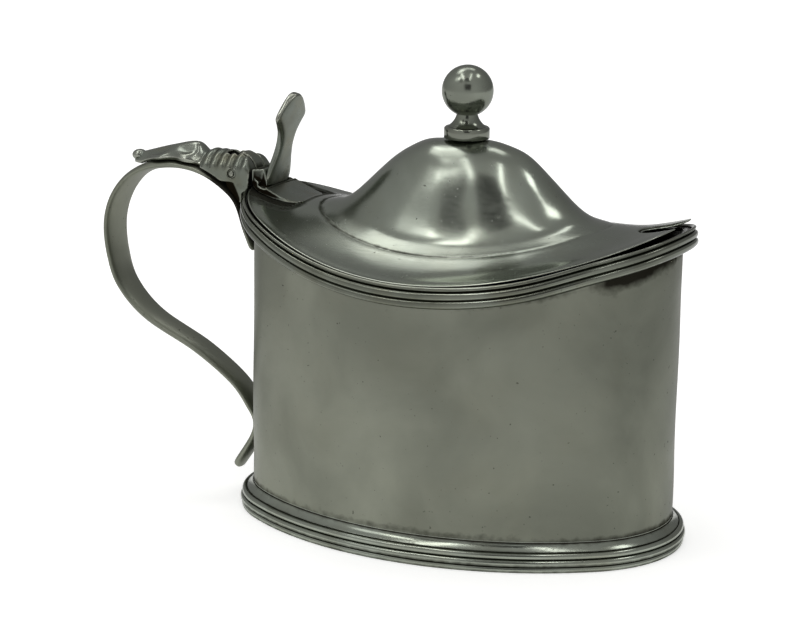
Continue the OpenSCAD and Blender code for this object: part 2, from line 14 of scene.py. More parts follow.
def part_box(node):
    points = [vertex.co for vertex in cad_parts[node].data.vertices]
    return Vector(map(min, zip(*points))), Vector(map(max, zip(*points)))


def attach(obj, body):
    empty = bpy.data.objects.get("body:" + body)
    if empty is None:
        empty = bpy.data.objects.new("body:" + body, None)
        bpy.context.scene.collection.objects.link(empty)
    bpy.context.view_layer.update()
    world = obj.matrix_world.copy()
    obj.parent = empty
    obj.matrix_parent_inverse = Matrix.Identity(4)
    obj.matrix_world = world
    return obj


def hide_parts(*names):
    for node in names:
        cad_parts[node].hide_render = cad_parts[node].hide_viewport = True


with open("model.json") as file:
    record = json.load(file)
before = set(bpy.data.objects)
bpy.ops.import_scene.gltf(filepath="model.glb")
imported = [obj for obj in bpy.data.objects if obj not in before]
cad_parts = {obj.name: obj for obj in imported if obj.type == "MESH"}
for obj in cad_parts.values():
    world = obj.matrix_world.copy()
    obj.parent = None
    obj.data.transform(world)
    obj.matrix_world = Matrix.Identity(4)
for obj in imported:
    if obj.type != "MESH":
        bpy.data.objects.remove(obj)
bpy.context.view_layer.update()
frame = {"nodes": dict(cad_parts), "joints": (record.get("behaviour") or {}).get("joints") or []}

bl_info = {
    "name": "Oval mustard pot",
    "version": (1, 0, 0),
    "blender": (4, 5, 0),
    "location": "3D View > Sidebar > Mustard pot",
    "description": "Builds an oval mustard pot in old silver, with a hinged lid and a glass liner",
    "category": "Object",
}

# Lengths are in millimetres and angles in degrees, unless a comment says otherwise. SEAM is the gap between
# neighbouring pieces, and the steps are the points on an end arc and on a side arc of the oval.
MM = 0.001
SEAM = 0.04
END_STEPS, SIDE_STEPS = 64, 72
HINGE_X, _, HINGE_Z = (value / MM for value in frame["joints"][0]["pos_m"])


def linear(hex_colour):
    """An sRGB hex colour as the linear values that Blender works with."""
    values = [int(hex_colour[i:i + 2], 16) / 255 for i in (1, 3, 5)]
    return tuple(v / 12.92 if v <= 0.04045 else ((v + 0.055) / 1.055) ** 2.4 for v in values)


def length(label, default):
    """A size in metres that a user can change."""
    return bpy.props.FloatProperty(name=label, default=default, min=0, precision=5, unit="LENGTH")


def colour(label, default):
    """A colour that a user can change."""
    return bpy.props.FloatVectorProperty(
        name=label, default=linear(default), min=0, max=1, size=3, subtype="COLOR")


class PotSizes(bpy.types.PropertyGroup):
    """Sizes of the pot. The defaults follow the frame."""

    drum_half_l: length("Half the length of the drum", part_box("drum")[1].x)
    drum_half_w: length("Half the width of the drum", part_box("drum")[1].y)
    end_r: length("Radius of the arcs at the ends of the oval", 19.5 * MM)
    wall: length("Thickness of the drum's sheet", 0.8 * MM)
    rim_h: length("Height of the rim at the middle of the sides", 49.05 * MM)
    rim_rise: length("How far the rim climbs to the ends", 8.2 * MM)
    rim_lean: length("How far the rim's lowest point lies towards the spoon end", 1.1 * MM)
    rim_out: length("How far the rim stands out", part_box("rim_moulding")[1].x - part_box("drum")[1].x)
    rim_pitch: length("Height of one reed of the rim", 1.4 * MM)
    foot_h: length("Height of the foot moulding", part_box("foot_moulding")[1].z)
    foot_out: length("How far the foot stands out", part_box("foot_moulding")[1].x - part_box("drum")[1].x)
    foot_reed: length("Radius of the foot's reeds", 0.62 * MM)
    plate_t: length("Thickness of the bottom plate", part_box("base_plate")[1].z)
    liner_wall: length("Thickness of the glass", 2.2 * MM)
    liner_floor: length("Thickness of the glass floor", 2.6 * MM)
    liner_top: length("Height of the glass lip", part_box("glass_liner")[1].z)
    lid_t: length("Thickness of the lid", 0.55 * MM)
    lid_out: length("How far the lid reaches past the drum", 1.23 * MM)
    lid_h: length("Height of the lid's edge at the middle of the sides", 49.75 * MM)
    lid_rise: length("How far the lid's edge climbs to the ends", 9.1 * MM)
    skirt_h: length("Height of the sweep from the lid's edge to the dome", 10.3 * MM)
    dome_h: length("Height of the dome", 10.5 * MM)
    dome_half_l: length("Half the length of the dome", 27.7 * MM)
    dome_half_w: length("Half the width of the dome", 19 * MM)
    notch_w: length("Width of the spoon notch at the lid's edge", 8 * MM)
    notch_l: length("Depth of the spoon notch", 7.6 * MM)
    strap_t: length("Thickness of the handle's strap", 1.8 * MM)
    strap_top_w: length("Width of the strap at the hinge", 8.4 * MM)
    strap_tail_w: length("Width of the strap at its tail", 4.2 * MM)
    leaf_l: length("Length of the leaf on the handle", 15.6 * MM)
    leaf_h: length("Height of the leaf", 3.6 * MM)
    leaf_w: length("Greatest width of the leaf", 10 * MM)
    thumb_t: length("Thickness of the thumbpiece", 1.6 * MM)
    thumb_w: length("Width across the thumbpiece's shoulders", 10.8 * MM)
    ball_r: length("Radius of the finial's ball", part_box("finial_ball")[1].x)
    collar_r: length("Radius of the finial's collar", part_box("finial_collar")[1].x)
    neck_r: length("Least radius of the finial's neck", 1.8 * MM)


class PotFinish(bpy.types.PropertyGroup):
    """Colours of the pot's finishes."""

    satin: colour("Silver of the drum and the strap", "#8a8d80")
    polished: colour("Silver of the lid and the finial", "#999f94")
    cast: colour("Silver of the hinge and the leaf", "#81877e")
    # This bare silver is also laid on the thumbpiece's upper faces as a painted highlight.
    worn_and_highlight: colour("Bare silver on rubbed edges", "#a8a99e")
    tarnish: colour("Grey film on the silver", "#63665c")
    # This black also lays painted shade: under the hinge, on faces that look down, in corners and round the
    # notch.
    grime_and_shade: colour("Black tarnish in the hollows", "#1b1710")
    warm: colour("First yellow bloom of tarnish", "#72663d")
    glass: colour("Glass of the liner", "#1f45c4")
    floor: colour("Floor under the pot", "#f4f4f2")


def sizes():
    """The sizes in millimetres."""
    group = bpy.context.scene.pot_sizes
    return SimpleNamespace(**{name: getattr(group, name) / MM for name in PotSizes.__annotations__})


# Shapes and rules that several pieces share.

def oval(s, out, end_steps=END_STEPS, side_steps=SIDE_STEPS):
    """Points round the four-arc oval, grown by a distance."""
    end_c = s.drum_half_l - s.end_r
    side_r = (end_c ** 2 + s.drum_half_w ** 2 - s.end_r ** 2) / (2 * (s.drum_half_w - s.end_r))
    side_c = side_r - s.drum_half_w
    turn = math.atan2(side_c, end_c)
    a = np.linspace(-turn, turn, end_steps, endpoint=False)
    b = np.linspace(turn, math.pi - turn, side_steps, endpoint=False)
    way = np.concatenate([np.c_[np.cos(a), np.sin(a)], np.c_[np.cos(b), np.sin(b)]])
    middle = np.concatenate([np.c_[np.full_like(a, end_c), 0 * a], np.c_[0 * b, np.full_like(b, -side_c)]])
    reach = np.concatenate([np.full_like(a, s.end_r), np.full_like(b, side_r)])[:, None]
    points = middle + way * (reach + out)
    return np.concatenate([points, -points])


def rim_radius(s):
    """Radius of the wide cylinder that the rim is cut along."""
    return (s.drum_half_l ** 2 + s.rim_rise ** 2) / (2 * s.rim_rise)


def rim_z(s, x):
    """Height of the rim."""
    r = rim_radius(s)
    return s.rim_h + r - np.sqrt(r * r - (x - s.rim_lean) ** 2)


# How full the dome is, and how sharply its foot flares. A roll and a crease run round the foot, at these
# shares of the dome's half sizes, this wide, and this deep in millimetres.
DOME_ROUND, DOME_SHARP = 3.5, 4
FOLD_ROLL, FOLD_ROLL_W = 0.91, 0.05
FOLD_CREASE, FOLD_CREASE_W = 0.985, 0.018
FOLD_DEPTH = 0.1


def out_on_dome(s, x, y):
    """How far out on the dome a place is: 0 at its top and 1 at its foot."""
    return np.hypot(x / s.dome_half_l, y / s.dome_half_w)


def lid_z(s, x, y):
    """Height of the lid's upper face."""
    half_l, half_w = s.drum_half_l + s.lid_out, s.drum_half_w + s.lid_out
    sweep = np.maximum(1 - (x / half_l) ** 2 - (y / half_w) ** 2, 0) ** 2
    dome = (1 - np.minimum(out_on_dome(s, x, y), 1) ** DOME_ROUND) ** DOME_SHARP
    return s.lid_h + s.lid_rise * (x / s.drum_half_l) ** 2 + s.skirt_h * sweep + s.dome_h * dome


def smooth_line(points, steps):
    """A smooth line through given points."""
    p = np.asarray(points, float)
    ends = np.concatenate([p[:1], p, p[-1:]])
    a, b, c, d = (ends[i:len(ends) - 3 + i, None] for i in range(4))
    t = np.linspace(0, 1, steps, endpoint=False)[None, :, None]
    second, third = 2 * a - 5 * b + 4 * c - d, 3 * b - a - 3 * c + d
    line = 0.5 * (2 * b + (c - a) * t + second * t ** 2 + third * t ** 3)
    return np.concatenate([line.reshape(-1, p.shape[1]), p[-1:]])


def bell(distance, width, height=1):
    """A smooth bump."""
    return height * np.exp(-(distance / width) ** 2)


def ramp(value, start, run, least=0):
    """A share that grows from a start to 1 over a run, or falls if the run is below 0."""
    return np.clip((value - start) / run, least, 1)


def waves(table, a, b):
    """A sum of waves over two values. Each is its size, its turn for each unit of both, and its start."""
    return sum(size * np.sin(along * a + across * b + start) for size, along, across, start in table)


def even(amount):
    """A rule that gives every place the same amount."""
    return lambda x, *others: np.full_like(x, amount)


# Meshes. Points closer than DOUBLE are merged, and edges shorter than SLIVER are taken out. Castings are
# welded, remeshed and smoothed by these values. Curvature is cut off at SHARPEST, in 1/mm.

DOUBLE, SLIVER = 0.002, 0.001
CAST_WELD, CAST_GRAIN, CAST_SMOOTH = 0.001, 0.1, 0.5
SHARPEST = 6


def grid_faces(rows, cols, wrap_rows=False):
    """Faces between neighbouring rows of a grid of points. Each row is a loop."""
    i = np.arange(rows if wrap_rows else rows - 1)[:, None]
    j = np.arange(cols)[None, :]
    n, k = (i + 1) % rows, (j + 1) % cols
    return np.stack([i * cols + j, i * cols + k, n * cols + k, n * cols + j], -1).reshape(-1, 4).tolist()


def tube_faces(rows, cols):
    """Faces of a tube of rows of points, closed at both ends."""
    ends = [list(range(cols)), list(range((rows - 1) * cols, rows * cols))]
    return grid_faces(rows, cols) + ends


def new_object(name, data):
    """An object at the origin, in the scene."""
    obj = bpy.data.objects.new(name, data)
    bpy.context.scene.collection.objects.link(obj)
    return obj


@contextmanager
def opened(mesh):
    """A mesh opened for work, and written back at the end."""
    work = bmesh.new()
    work.from_mesh(mesh)
    yield work
    work.to_mesh(mesh)
    work.free()


def tidy_mesh(mesh, sharp=50):
    """Merges doubles, turns the faces outwards and shades the mesh smooth, apart from sharp edges."""
    with opened(mesh) as work:
        bmesh.ops.remove_doubles(work, verts=work.verts, dist=DOUBLE * MM)
        bmesh.ops.dissolve_degenerate(work, edges=work.edges, dist=SLIVER * MM)
        bmesh.ops.recalc_face_normals(work, faces=work.faces)
    mesh.shade_smooth()
    mesh.set_sharp_from_angle(angle=math.radians(sharp))


def mesh_piece(name, points, faces):
    """A closed mesh from points in millimetres, with its faces turned outwards."""
    mesh = bpy.data.meshes.new(name)
    mesh.from_pydata((np.asarray(points) * MM).tolist(), [], faces)
    tidy_mesh(mesh)
    return new_object(name, mesh)


def settle(obj):
    """Turns an object and its modifiers into a plain mesh."""
    mesh = bpy.data.meshes.new_from_object(obj.evaluated_get(bpy.context.evaluated_depsgraph_get()))
    obj.modifiers.clear()
    old, obj.data = obj.data, mesh
    bpy.data.meshes.remove(old)
    return obj


def lathe(name, profile, steps, axis="Z", centre=(0, 0, 0)):
    """A body of revolution from a profile of radius and height that starts and ends on its axis."""
    profile = np.asarray(profile, float)
    turn = np.linspace(0, 2 * math.pi, steps, endpoint=False)
    r, h = profile[:, :1], np.repeat(profile[:, 1:], steps, 1)
    round_a, round_b = r * np.cos(turn), r * np.sin(turn)
    points = np.stack([round_a, round_b, h] if axis == "Z" else [round_a, h, round_b], -1).reshape(-1, 3)
    return mesh_piece(name, points + np.array(centre), tube_faces(len(profile), steps))


def oval_loft(name, s, rows, wrap):
    """A mesh whose rows follow the oval.

    Each row is its growth, its height or a rule for it, and its scale towards the middle.
    """
    points = []
    for out, height, scale in rows:
        flat = oval(s, out) * scale
        z = height(flat[:, 0]) if callable(height) else np.full(len(flat), height)
        points.append(np.c_[flat, z])
    shape = len(rows), len(points[0])
    faces = grid_faces(*shape, wrap_rows=True) if wrap else tube_faces(*shape)
    return mesh_piece(name, np.concatenate(points), faces)


def read(items, name, width, kind=float):
    """One property of all items of a mesh, as rows of numbers."""
    values = np.zeros(len(items) * width, kind)
    items.foreach_get(name, values)
    return values.reshape(-1, width)


def store(mesh, name, values):
    """Keeps a value for each point of a mesh, for its material."""
    mesh.attributes.new(name, "FLOAT", "POINT").data.foreach_set("value", values.astype(np.float32))


def shift_points(mesh, rule):
    """Moves a mesh's points by a rule that gives a shift for each place, in millimetres."""
    co = read(mesh.vertices, "co", 3)
    co += np.stack(rule(*(co / MM).T), -1) * MM
    mesh.vertices.foreach_set("co", co.ravel())
    mesh.update()


def cast(obj, grain, passes):
    """Gives an object the softened edges of a casting. The grain is in millimetres."""
    obj.data.transform(Matrix.Scale(1 / MM, 4))
    for kind, settings in (
            ("WELD", {"merge_threshold": CAST_WELD}),
            ("REMESH", {"mode": "VOXEL", "voxel_size": grain}),
            ("SMOOTH", {"factor": CAST_SMOOTH, "iterations": passes})):
        modifier = obj.modifiers.new(kind.title(), kind)
        for key, value in settings.items():
            setattr(modifier, key, value)
    settle(obj)
    obj.data.transform(Matrix.Scale(MM, 4))
    obj.data.shade_smooth()
    return obj


def cast_copy(name, node, passes, extra):
    """A copy of a frame node as a casting, with extra prisms. A prism is the points of its two equal ends."""
    mesh = frame["nodes"][node].data.copy()
    mesh.materials.clear()
    with opened(mesh) as work:
        for points in extra:
            corners = [work.verts.new(Vector(point) * MM) for point in points]
            faces = tube_faces(2, len(corners) // 2)
            made = [work.faces.new([corners[i] for i in face]) for face in faces]
            bmesh.ops.recalc_face_normals(work, faces=made)
    return cast(new_object(name, mesh), CAST_GRAIN, passes)


def mark_hollows(obj, passes, stain_and_painted_light, film):
    """Stores the surface's curvature in 1/mm as "hollow": above 0 in hollows, below 0 on edges.

    A rule for stains gives more of it to places, in millimetres, and to faces by how far they look up or
    down: real tarnish and wear, and painted shade and painted highlights too. A film is a rule that gives
    places more grey film, from 0 to 1, kept as "film".
    """
    mesh = obj.data
    count = len(mesh.vertices)
    co, no = read(mesh.vertices, "co", 3) / MM, read(mesh.vertex_normals, "vector", 3)
    first, second = read(mesh.edges, "vertices", 2, int).T
    step = co[second] - co[first]
    square = np.maximum((step ** 2).sum(1), 1e-6)
    bend = np.zeros(count)
    links = np.maximum(np.bincount(np.concatenate([first, second]), minlength=count), 1)
    np.add.at(bend, first, 2 * (no[first] * step).sum(1) / square)
    np.add.at(bend, second, -2 * (no[second] * step).sum(1) / square)
    bend = np.clip(bend / links, -SHARPEST, SHARPEST)
    for _ in range(passes):
        spread = np.zeros(count)
        np.add.at(spread, first, bend[second])
        np.add.at(spread, second, bend[first])
        bend = 0.5 * bend + 0.5 * spread / links
    if stain_and_painted_light:
        bend += stain_and_painted_light(*co.T, no[:, 2])
    if film:
        store(mesh, "film", film(*co.T))
    store(mesh, "hollow", bend)


def dress(obj, slot, body, node, passes=2, stain_and_painted_light=None, film=None):
    """Gives a finished piece its material, its body and the frame node that it stands for."""
    obj.data.materials.clear()
    obj.data.materials.append(finish_of(slot))
    mark_hollows(obj, passes, stain_and_painted_light, film)
    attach(obj, body)
    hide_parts(node)


# Materials. One function adds a node with its settings and links.

def add(tree, kind, inputs=None, **settings):
    """Adds a node. Inputs are values, nodes, whose first output is linked, or output sockets."""
    node = tree.nodes.new(kind)
    for key, value in settings.items():
        setattr(node, key, value)
    for key, value in (inputs or {}).items():
        if isinstance(value, bpy.types.Node):
            value = value.outputs[0]
        if isinstance(value, bpy.types.NodeSocket):
            tree.links.new(value, node.inputs[key])
        elif value is not None:
            node.inputs[key].default_value = value
    return node


def new_material(name):
    """An empty node material and its tree."""
    material = bpy.data.materials.new(name)
    material.use_nodes = True
    material.node_tree.nodes.clear()
    return material, material.node_tree


def rgba(value):
    """A colour that hides what is behind it."""
    return (*value, 1)


# Each silver: its material's name, and what the silver function asks for.
SILVERS = {
    # Rolled sheet, rubbed dull over the years: a soft, cloudy sheen with pin pricks of tarnish.
    "silver_satin": {
        "name": "Rolled silver, rubbed dull", "body": "satin", "cloud_mm": 20, "film": 0.45,
        "rough": (0.34, 0.46), "speck": 0.5, "grime_and_shade": 0.9, "wear": 0.0, "warmth": 0.05, "bump_mm": 0.008},
    # Drawn wire, soldered on: the crowns of the reeds are rubbed bright, and the grooves are black.
    "silver_moulding": {
        "name": "Drawn silver wire", "body": "polished", "cloud_mm": 11, "film": 0.35,
        "rough": (0.1, 0.22), "speck": 0.4, "grime_and_shade": 0.93, "wear": 0.25, "warmth": 0.15, "bump_mm": 0.005},
    # Raised and polished sheet: long soft reflections, with a thin grey film that breaks them up.
    "silver_polished": {
        "name": "Raised silver, polished", "body": "polished", "cloud_mm": 14, "film": 0.35,
        "rough": (0.13, 0.25), "speck": 0.5, "grime_and_shade": 0.9, "wear": 0.4, "warmth": 0.1, "bump_mm": 0.005},
    # Sand-cast and chased: softened forms, brown and black in every hollow.
    "silver_cast": {
        "name": "Cast silver, chased", "body": "cast", "cloud_mm": 6, "film": 0.4,
        "rough": (0.22, 0.38), "speck": 0.5, "grime_and_shade": 1.0, "wear": 0.6, "warmth": 0.3, "bump_mm": 0.01},
}
# The patterns on old silver: the scales of pits, of the flecks in black tarnish and of the marks of wiping,
# and the bloom's scale as a share of the clouds'.
PIT_MM, FLECK_MM, WIPE_MM, BLOOM_SHARE = 0.6, 1.4, 0.5, 0.6
# The two values of a pattern, or of the hollows, between which each mark grows from nothing to full.
CLOUD, BLOOM, PIT = (0.3, 0.72), (0.45, 0.75), (0.74, 0.8)
DIRT_AND_SHADE, WORN, GLOSS = (0.85, 2.0), (-0.5, -2.2), (0.45, 0.9)
# How far flecks move the edge of black tarnish and painted shade and wiping moves the roughness, what wear
# and dirt with painted shade add to the roughness, and how deep pits are beside the marks of wiping.
FLECK_EDGE, WIPE_GLOSS, WORN_ROUGH, DIRT_AND_SHADE_ROUGH, PIT_DEPTH = 1.2, 0.35, -0.25, 0.35, -3.0
# Marks of wiping are longer along the pot. How bright silver is at flat angles.
WIPE_STRETCH = (0.25, 1, 1)
FLAT_ANGLE = (0.8, 0.8, 0.8)


def silver(name, body, cloud_mm, film, rough, speck, grime_and_shade, wear, warmth, bump_mm):
    """Old silver: a body colour under clouds of grey film, pits, black hollows and bright rubbed edges, which
    also lay painted shade and painted highlights.

    body names one of the finish's colours, rough is the range of the roughness, and film, speck, the amount
    of black tarnish and painted shade, wear and warmth are amounts from 0 to 1.
    """
    finish = bpy.context.scene.pot_finish
    material, tree = new_material(name)
    place = add(tree, "ShaderNodeTexCoord").outputs["Object"]
    hollow = add(tree, "ShaderNodeAttribute", attribute_name="hollow").outputs["Fac"]
    clouds = add(tree, "ShaderNodeTexNoise", {
        "Vector": place, "Scale": 1 / (cloud_mm * MM), "Detail": 4, "Roughness": 0.5, "Distortion": 0.4})
    cloud = add(tree, "ShaderNodeMapRange", {0: clouds, 1: CLOUD[0], 2: CLOUD[1], 4: film},
                interpolation_type="SMOOTHSTEP")
    grown = add(tree, "ShaderNodeAttribute", attribute_name="film").outputs["Fac"]
    smoke = add(tree, "ShaderNodeMath", {0: cloud, 1: grown}, operation="ADD", use_clamp=True)
    bloom = add(tree, "ShaderNodeTexNoise", {
        "Vector": place, "W": 3.7, "Scale": 1 / (BLOOM_SHARE * cloud_mm * MM), "Detail": 3},
        noise_dimensions="4D")
    yellow = add(tree, "ShaderNodeMapRange", {0: bloom, 1: BLOOM[0], 2: BLOOM[1], 4: warmth})
    # Pits are about 0.2 mm wide, and there are a few to each square centimetre.
    pits = add(tree, "ShaderNodeTexNoise", {"Vector": place, "Scale": 1 / (PIT_MM * MM), "Detail": 1})
    pit = add(tree, "ShaderNodeMapRange", {0: pits, 1: PIT[0], 2: PIT[1], 4: speck})
    # Black tarnish and painted shade have a ragged edge, with flecks of about 1 mm.
    flecks = add(tree, "ShaderNodeTexNoise", {"Vector": place, "Scale": 1 / (FLECK_MM * MM), "Detail": 3})
    ragged = add(tree, "ShaderNodeMath", {0: flecks, 1: FLECK_EDGE, 2: hollow}, operation="MULTIPLY_ADD")
    dirt_and_shade = add(tree, "ShaderNodeMapRange", {0: ragged, 1: DIRT_AND_SHADE[0], 2: DIRT_AND_SHADE[1], 4: grime_and_shade})
    dark = add(tree, "ShaderNodeMath", {0: dirt_and_shade, 1: pit}, operation="MAXIMUM")
    worn_and_highlight = add(tree, "ShaderNodeMapRange", {0: hollow, 1: WORN[0], 2: WORN[1], 4: wear})
    shown = rgba(getattr(finish, body))
    # The layers of bare silver and of black also lay painted highlights and painted shade, where the pieces'
    # stains put them.
    for share, layer in ((smoke, "tarnish"), (yellow, "warm"), (worn_and_highlight, "worn_and_highlight"), (dark, "grime_and_shade")):
        over = rgba(getattr(finish, layer))
        shown = add(tree, "ShaderNodeMix", {0: share, 6: shown, 7: over}, data_type="RGBA").outputs[2]
    # Wiping leaves faint marks about 2 mm long, mostly along the pot.
    along = add(tree, "ShaderNodeMapping", {"Vector": place, "Scale": WIPE_STRETCH})
    wipes = add(tree, "ShaderNodeTexNoise", {"Vector": along, "Scale": 1 / (WIPE_MM * MM), "Detail": 4})
    mixed = add(tree, "ShaderNodeMath", {0: wipes, 1: WIPE_GLOSS, 2: clouds}, operation="MULTIPLY_ADD")
    gloss = add(tree, "ShaderNodeMapRange", {0: mixed, 1: GLOSS[0], 2: GLOSS[1], 3: rough[0], 4: rough[1]})
    for share, amount in ((worn_and_highlight, WORN_ROUGH), (dark, DIRT_AND_SHADE_ROUGH)):
        gloss = add(tree, "ShaderNodeMath", {0: share, 1: amount, 2: gloss}, operation="MULTIPLY_ADD")
    relief = add(tree, "ShaderNodeMath", {0: pit, 1: PIT_DEPTH, 2: wipes}, operation="MULTIPLY_ADD")
    bump = add(tree, "ShaderNodeBump", {"Strength": 1.0, "Distance": bump_mm * MM, "Height": relief})
    # Silver brightens at flat angles, a little less under its film, and black tarnish and painted shade
    # don't.
    flat = add(tree, "ShaderNodeMix", {0: dark, 6: rgba(FLAT_ANGLE), 7: rgba(finish.grime_and_shade)}, data_type="RGBA")
    shader = add(tree, "ShaderNodeBsdfPrincipled", {
        "Base Color": shown, "Metallic": 1.0, "Roughness": gloss, "Specular Tint": flat.outputs[2],
        "Normal": bump})
    add(tree, "ShaderNodeOutputMaterial", {"Surface": shader})
    return material


# The glass: its name, its colour where it is thin, and how much of that shows, between two values of waves.
GLASS, THIN_GLASS, THIN_SHARE, THIN_FROM_TO = "Blown cobalt glass", "#4a78f0", 0.3, (0.3, 0.7)
# The scales of its waves and of its seeds, the two values between which a seed grows, how high seeds stand
# beside the waves, and the depth of both.
GLASS_WAVE_MM, SEED_MM, SEED, SEED_HEIGHT, GLASS_BUMP_MM = 7, 0.8, (0.72, 0.78), 0.6, 0.08


def cobalt_glass(name):
    """Blown and cut cobalt glass: deep blue where it is thick, with faint waves and seeds."""
    finish = bpy.context.scene.pot_finish
    material, tree = new_material(name)
    place = add(tree, "ShaderNodeTexCoord").outputs["Object"]
    wavy = add(tree, "ShaderNodeTexNoise", {"Vector": place, "Scale": 1 / (GLASS_WAVE_MM * MM), "Detail": 2})
    seeds = add(tree, "ShaderNodeTexNoise", {"Vector": place, "Scale": 1 / (SEED_MM * MM), "Detail": 1})
    seed = add(tree, "ShaderNodeMapRange", {0: seeds, 1: SEED[0], 2: SEED[1]})
    relief = add(tree, "ShaderNodeMath", {0: seed, 1: SEED_HEIGHT, 2: wavy}, operation="MULTIPLY_ADD")
    bump = add(tree, "ShaderNodeBump", {"Strength": 0.6, "Distance": GLASS_BUMP_MM * MM, "Height": relief})
    depth = add(tree, "ShaderNodeMapRange", {0: wavy, 1: THIN_FROM_TO[0], 2: THIN_FROM_TO[1], 4: THIN_SHARE})
    colours = {6: rgba(finish.glass), 7: rgba(linear(THIN_GLASS))}
    tint = add(tree, "ShaderNodeMix", {0: depth, **colours}, data_type="RGBA")
    shader = add(tree, "ShaderNodeBsdfPrincipled", {
        "Base Color": tint.outputs[2], "Roughness": 0.04, "IOR": 1.51, "Transmission Weight": 0.8,
        "Normal": bump})
    add(tree, "ShaderNodeOutputMaterial", {"Surface": shader})
    return material


def finish_of(slot):
    """The material of a slot, made when it is first asked for."""
    make, settings = (silver, SILVERS[slot]) if slot in SILVERS else (cobalt_glass, {"name": GLASS})
    return bpy.data.materials.get(settings["name"]) or make(**settings)


# Geometry Nodes.

def calculate(tree, names, steps):
    """Adds one Math node for each step: its name, its operation, and the names or numbers it works on."""
    for name, operation, *parts in steps:
        values = {i: names.get(part, part) for i, part in enumerate(parts)}
        names[name] = add(tree, "ShaderNodeMath", values, operation=operation)


def node_tree(name, inputs):
    """A Geometry Nodes tree with inputs of each kind and one mesh output, and its first values by name."""
    tree = bpy.data.node_groups.new(name, "GeometryNodeTree")
    for kind, labels in inputs.items():
        for label in labels:
            tree.interface.new_socket(label, in_out="INPUT", socket_type="NodeSocket" + kind)
    tree.interface.new_socket("Mesh", in_out="OUTPUT", socket_type="NodeSocketGeometry")
    group = add(tree, "NodeGroupInput")
    place = add(tree, "ShaderNodeSeparateXYZ", {0: add(tree, "GeometryNodeInputPosition")})
    names = {socket.name: socket for socket in group.outputs if socket.name}
    return tree, {**names, "x": place.outputs["X"], "y": place.outputs["Y"]}


def close_tree(tree, names, mesh, lift):
    """Lifts a tree's mesh, and ends with smooth shading, realized instances and the material."""
    offset = add(tree, "ShaderNodeCombineXYZ", {"Z": names[lift]})
    lifted = add(tree, "GeometryNodeSetPosition", {"Geometry": mesh, "Offset": offset})
    smooth = add(tree, "GeometryNodeSetShadeSmooth", {"Geometry": lifted})
    real = add(tree, "GeometryNodeRealizeInstances", {"Geometry": smooth})
    done = add(tree, "GeometryNodeSetMaterial", {"Geometry": real, "Material": names["Finish"]})
    add(tree, "NodeGroupOutput", {"Mesh": done})
    return tree


def shape_by_nodes(obj, tree, values):
    """Shapes an object by a tree, whose inputs are set by the identifiers of the sockets with these names."""
    modifier = obj.modifiers.new(tree.name, "NODES")
    modifier.node_group = tree
    for item in tree.interface.items_tree:
        if item.in_out == "INPUT" and item.name in values:
            modifier[item.identifier] = values[item.name]
    settle(obj)


def moulding_tree():
    """A profile swept round the oval, then lifted on to the saddle of the rim."""
    name = "Moulding round the oval"
    if name in bpy.data.node_groups:
        return bpy.data.node_groups[name]
    tree, names = node_tree(name, {
        "Object": ("Path", "Profile"), "Float": ("Height", "Saddle", "Saddle radius", "Saddle lean"),
        "Material": ("Finish",)})
    path = add(tree, "GeometryNodeObjectInfo", {"Object": names["Path"]})
    profile = add(tree, "GeometryNodeObjectInfo", {"Object": names["Profile"]})
    sweep = add(tree, "GeometryNodeCurveToMesh", {
        "Curve": path.outputs["Geometry"], "Profile Curve": profile.outputs["Geometry"]})
    calculate(tree, names, [
        ("from low point", "SUBTRACT", "x", "Saddle lean"),
        ("square", "MULTIPLY", "from low point", "from low point"),
        ("radius square", "MULTIPLY", "Saddle radius", "Saddle radius"),
        ("under root", "SUBTRACT", "radius square", "square"),
        ("root", "SQRT", "under root"),
        ("sum", "ADD", "root", "Saddle radius"),
        ("climb", "DIVIDE", "square", "sum"),
        ("lift", "MULTIPLY_ADD", "climb", "Saddle", "Height"),
    ])
    return close_tree(tree, names, sweep, "lift")


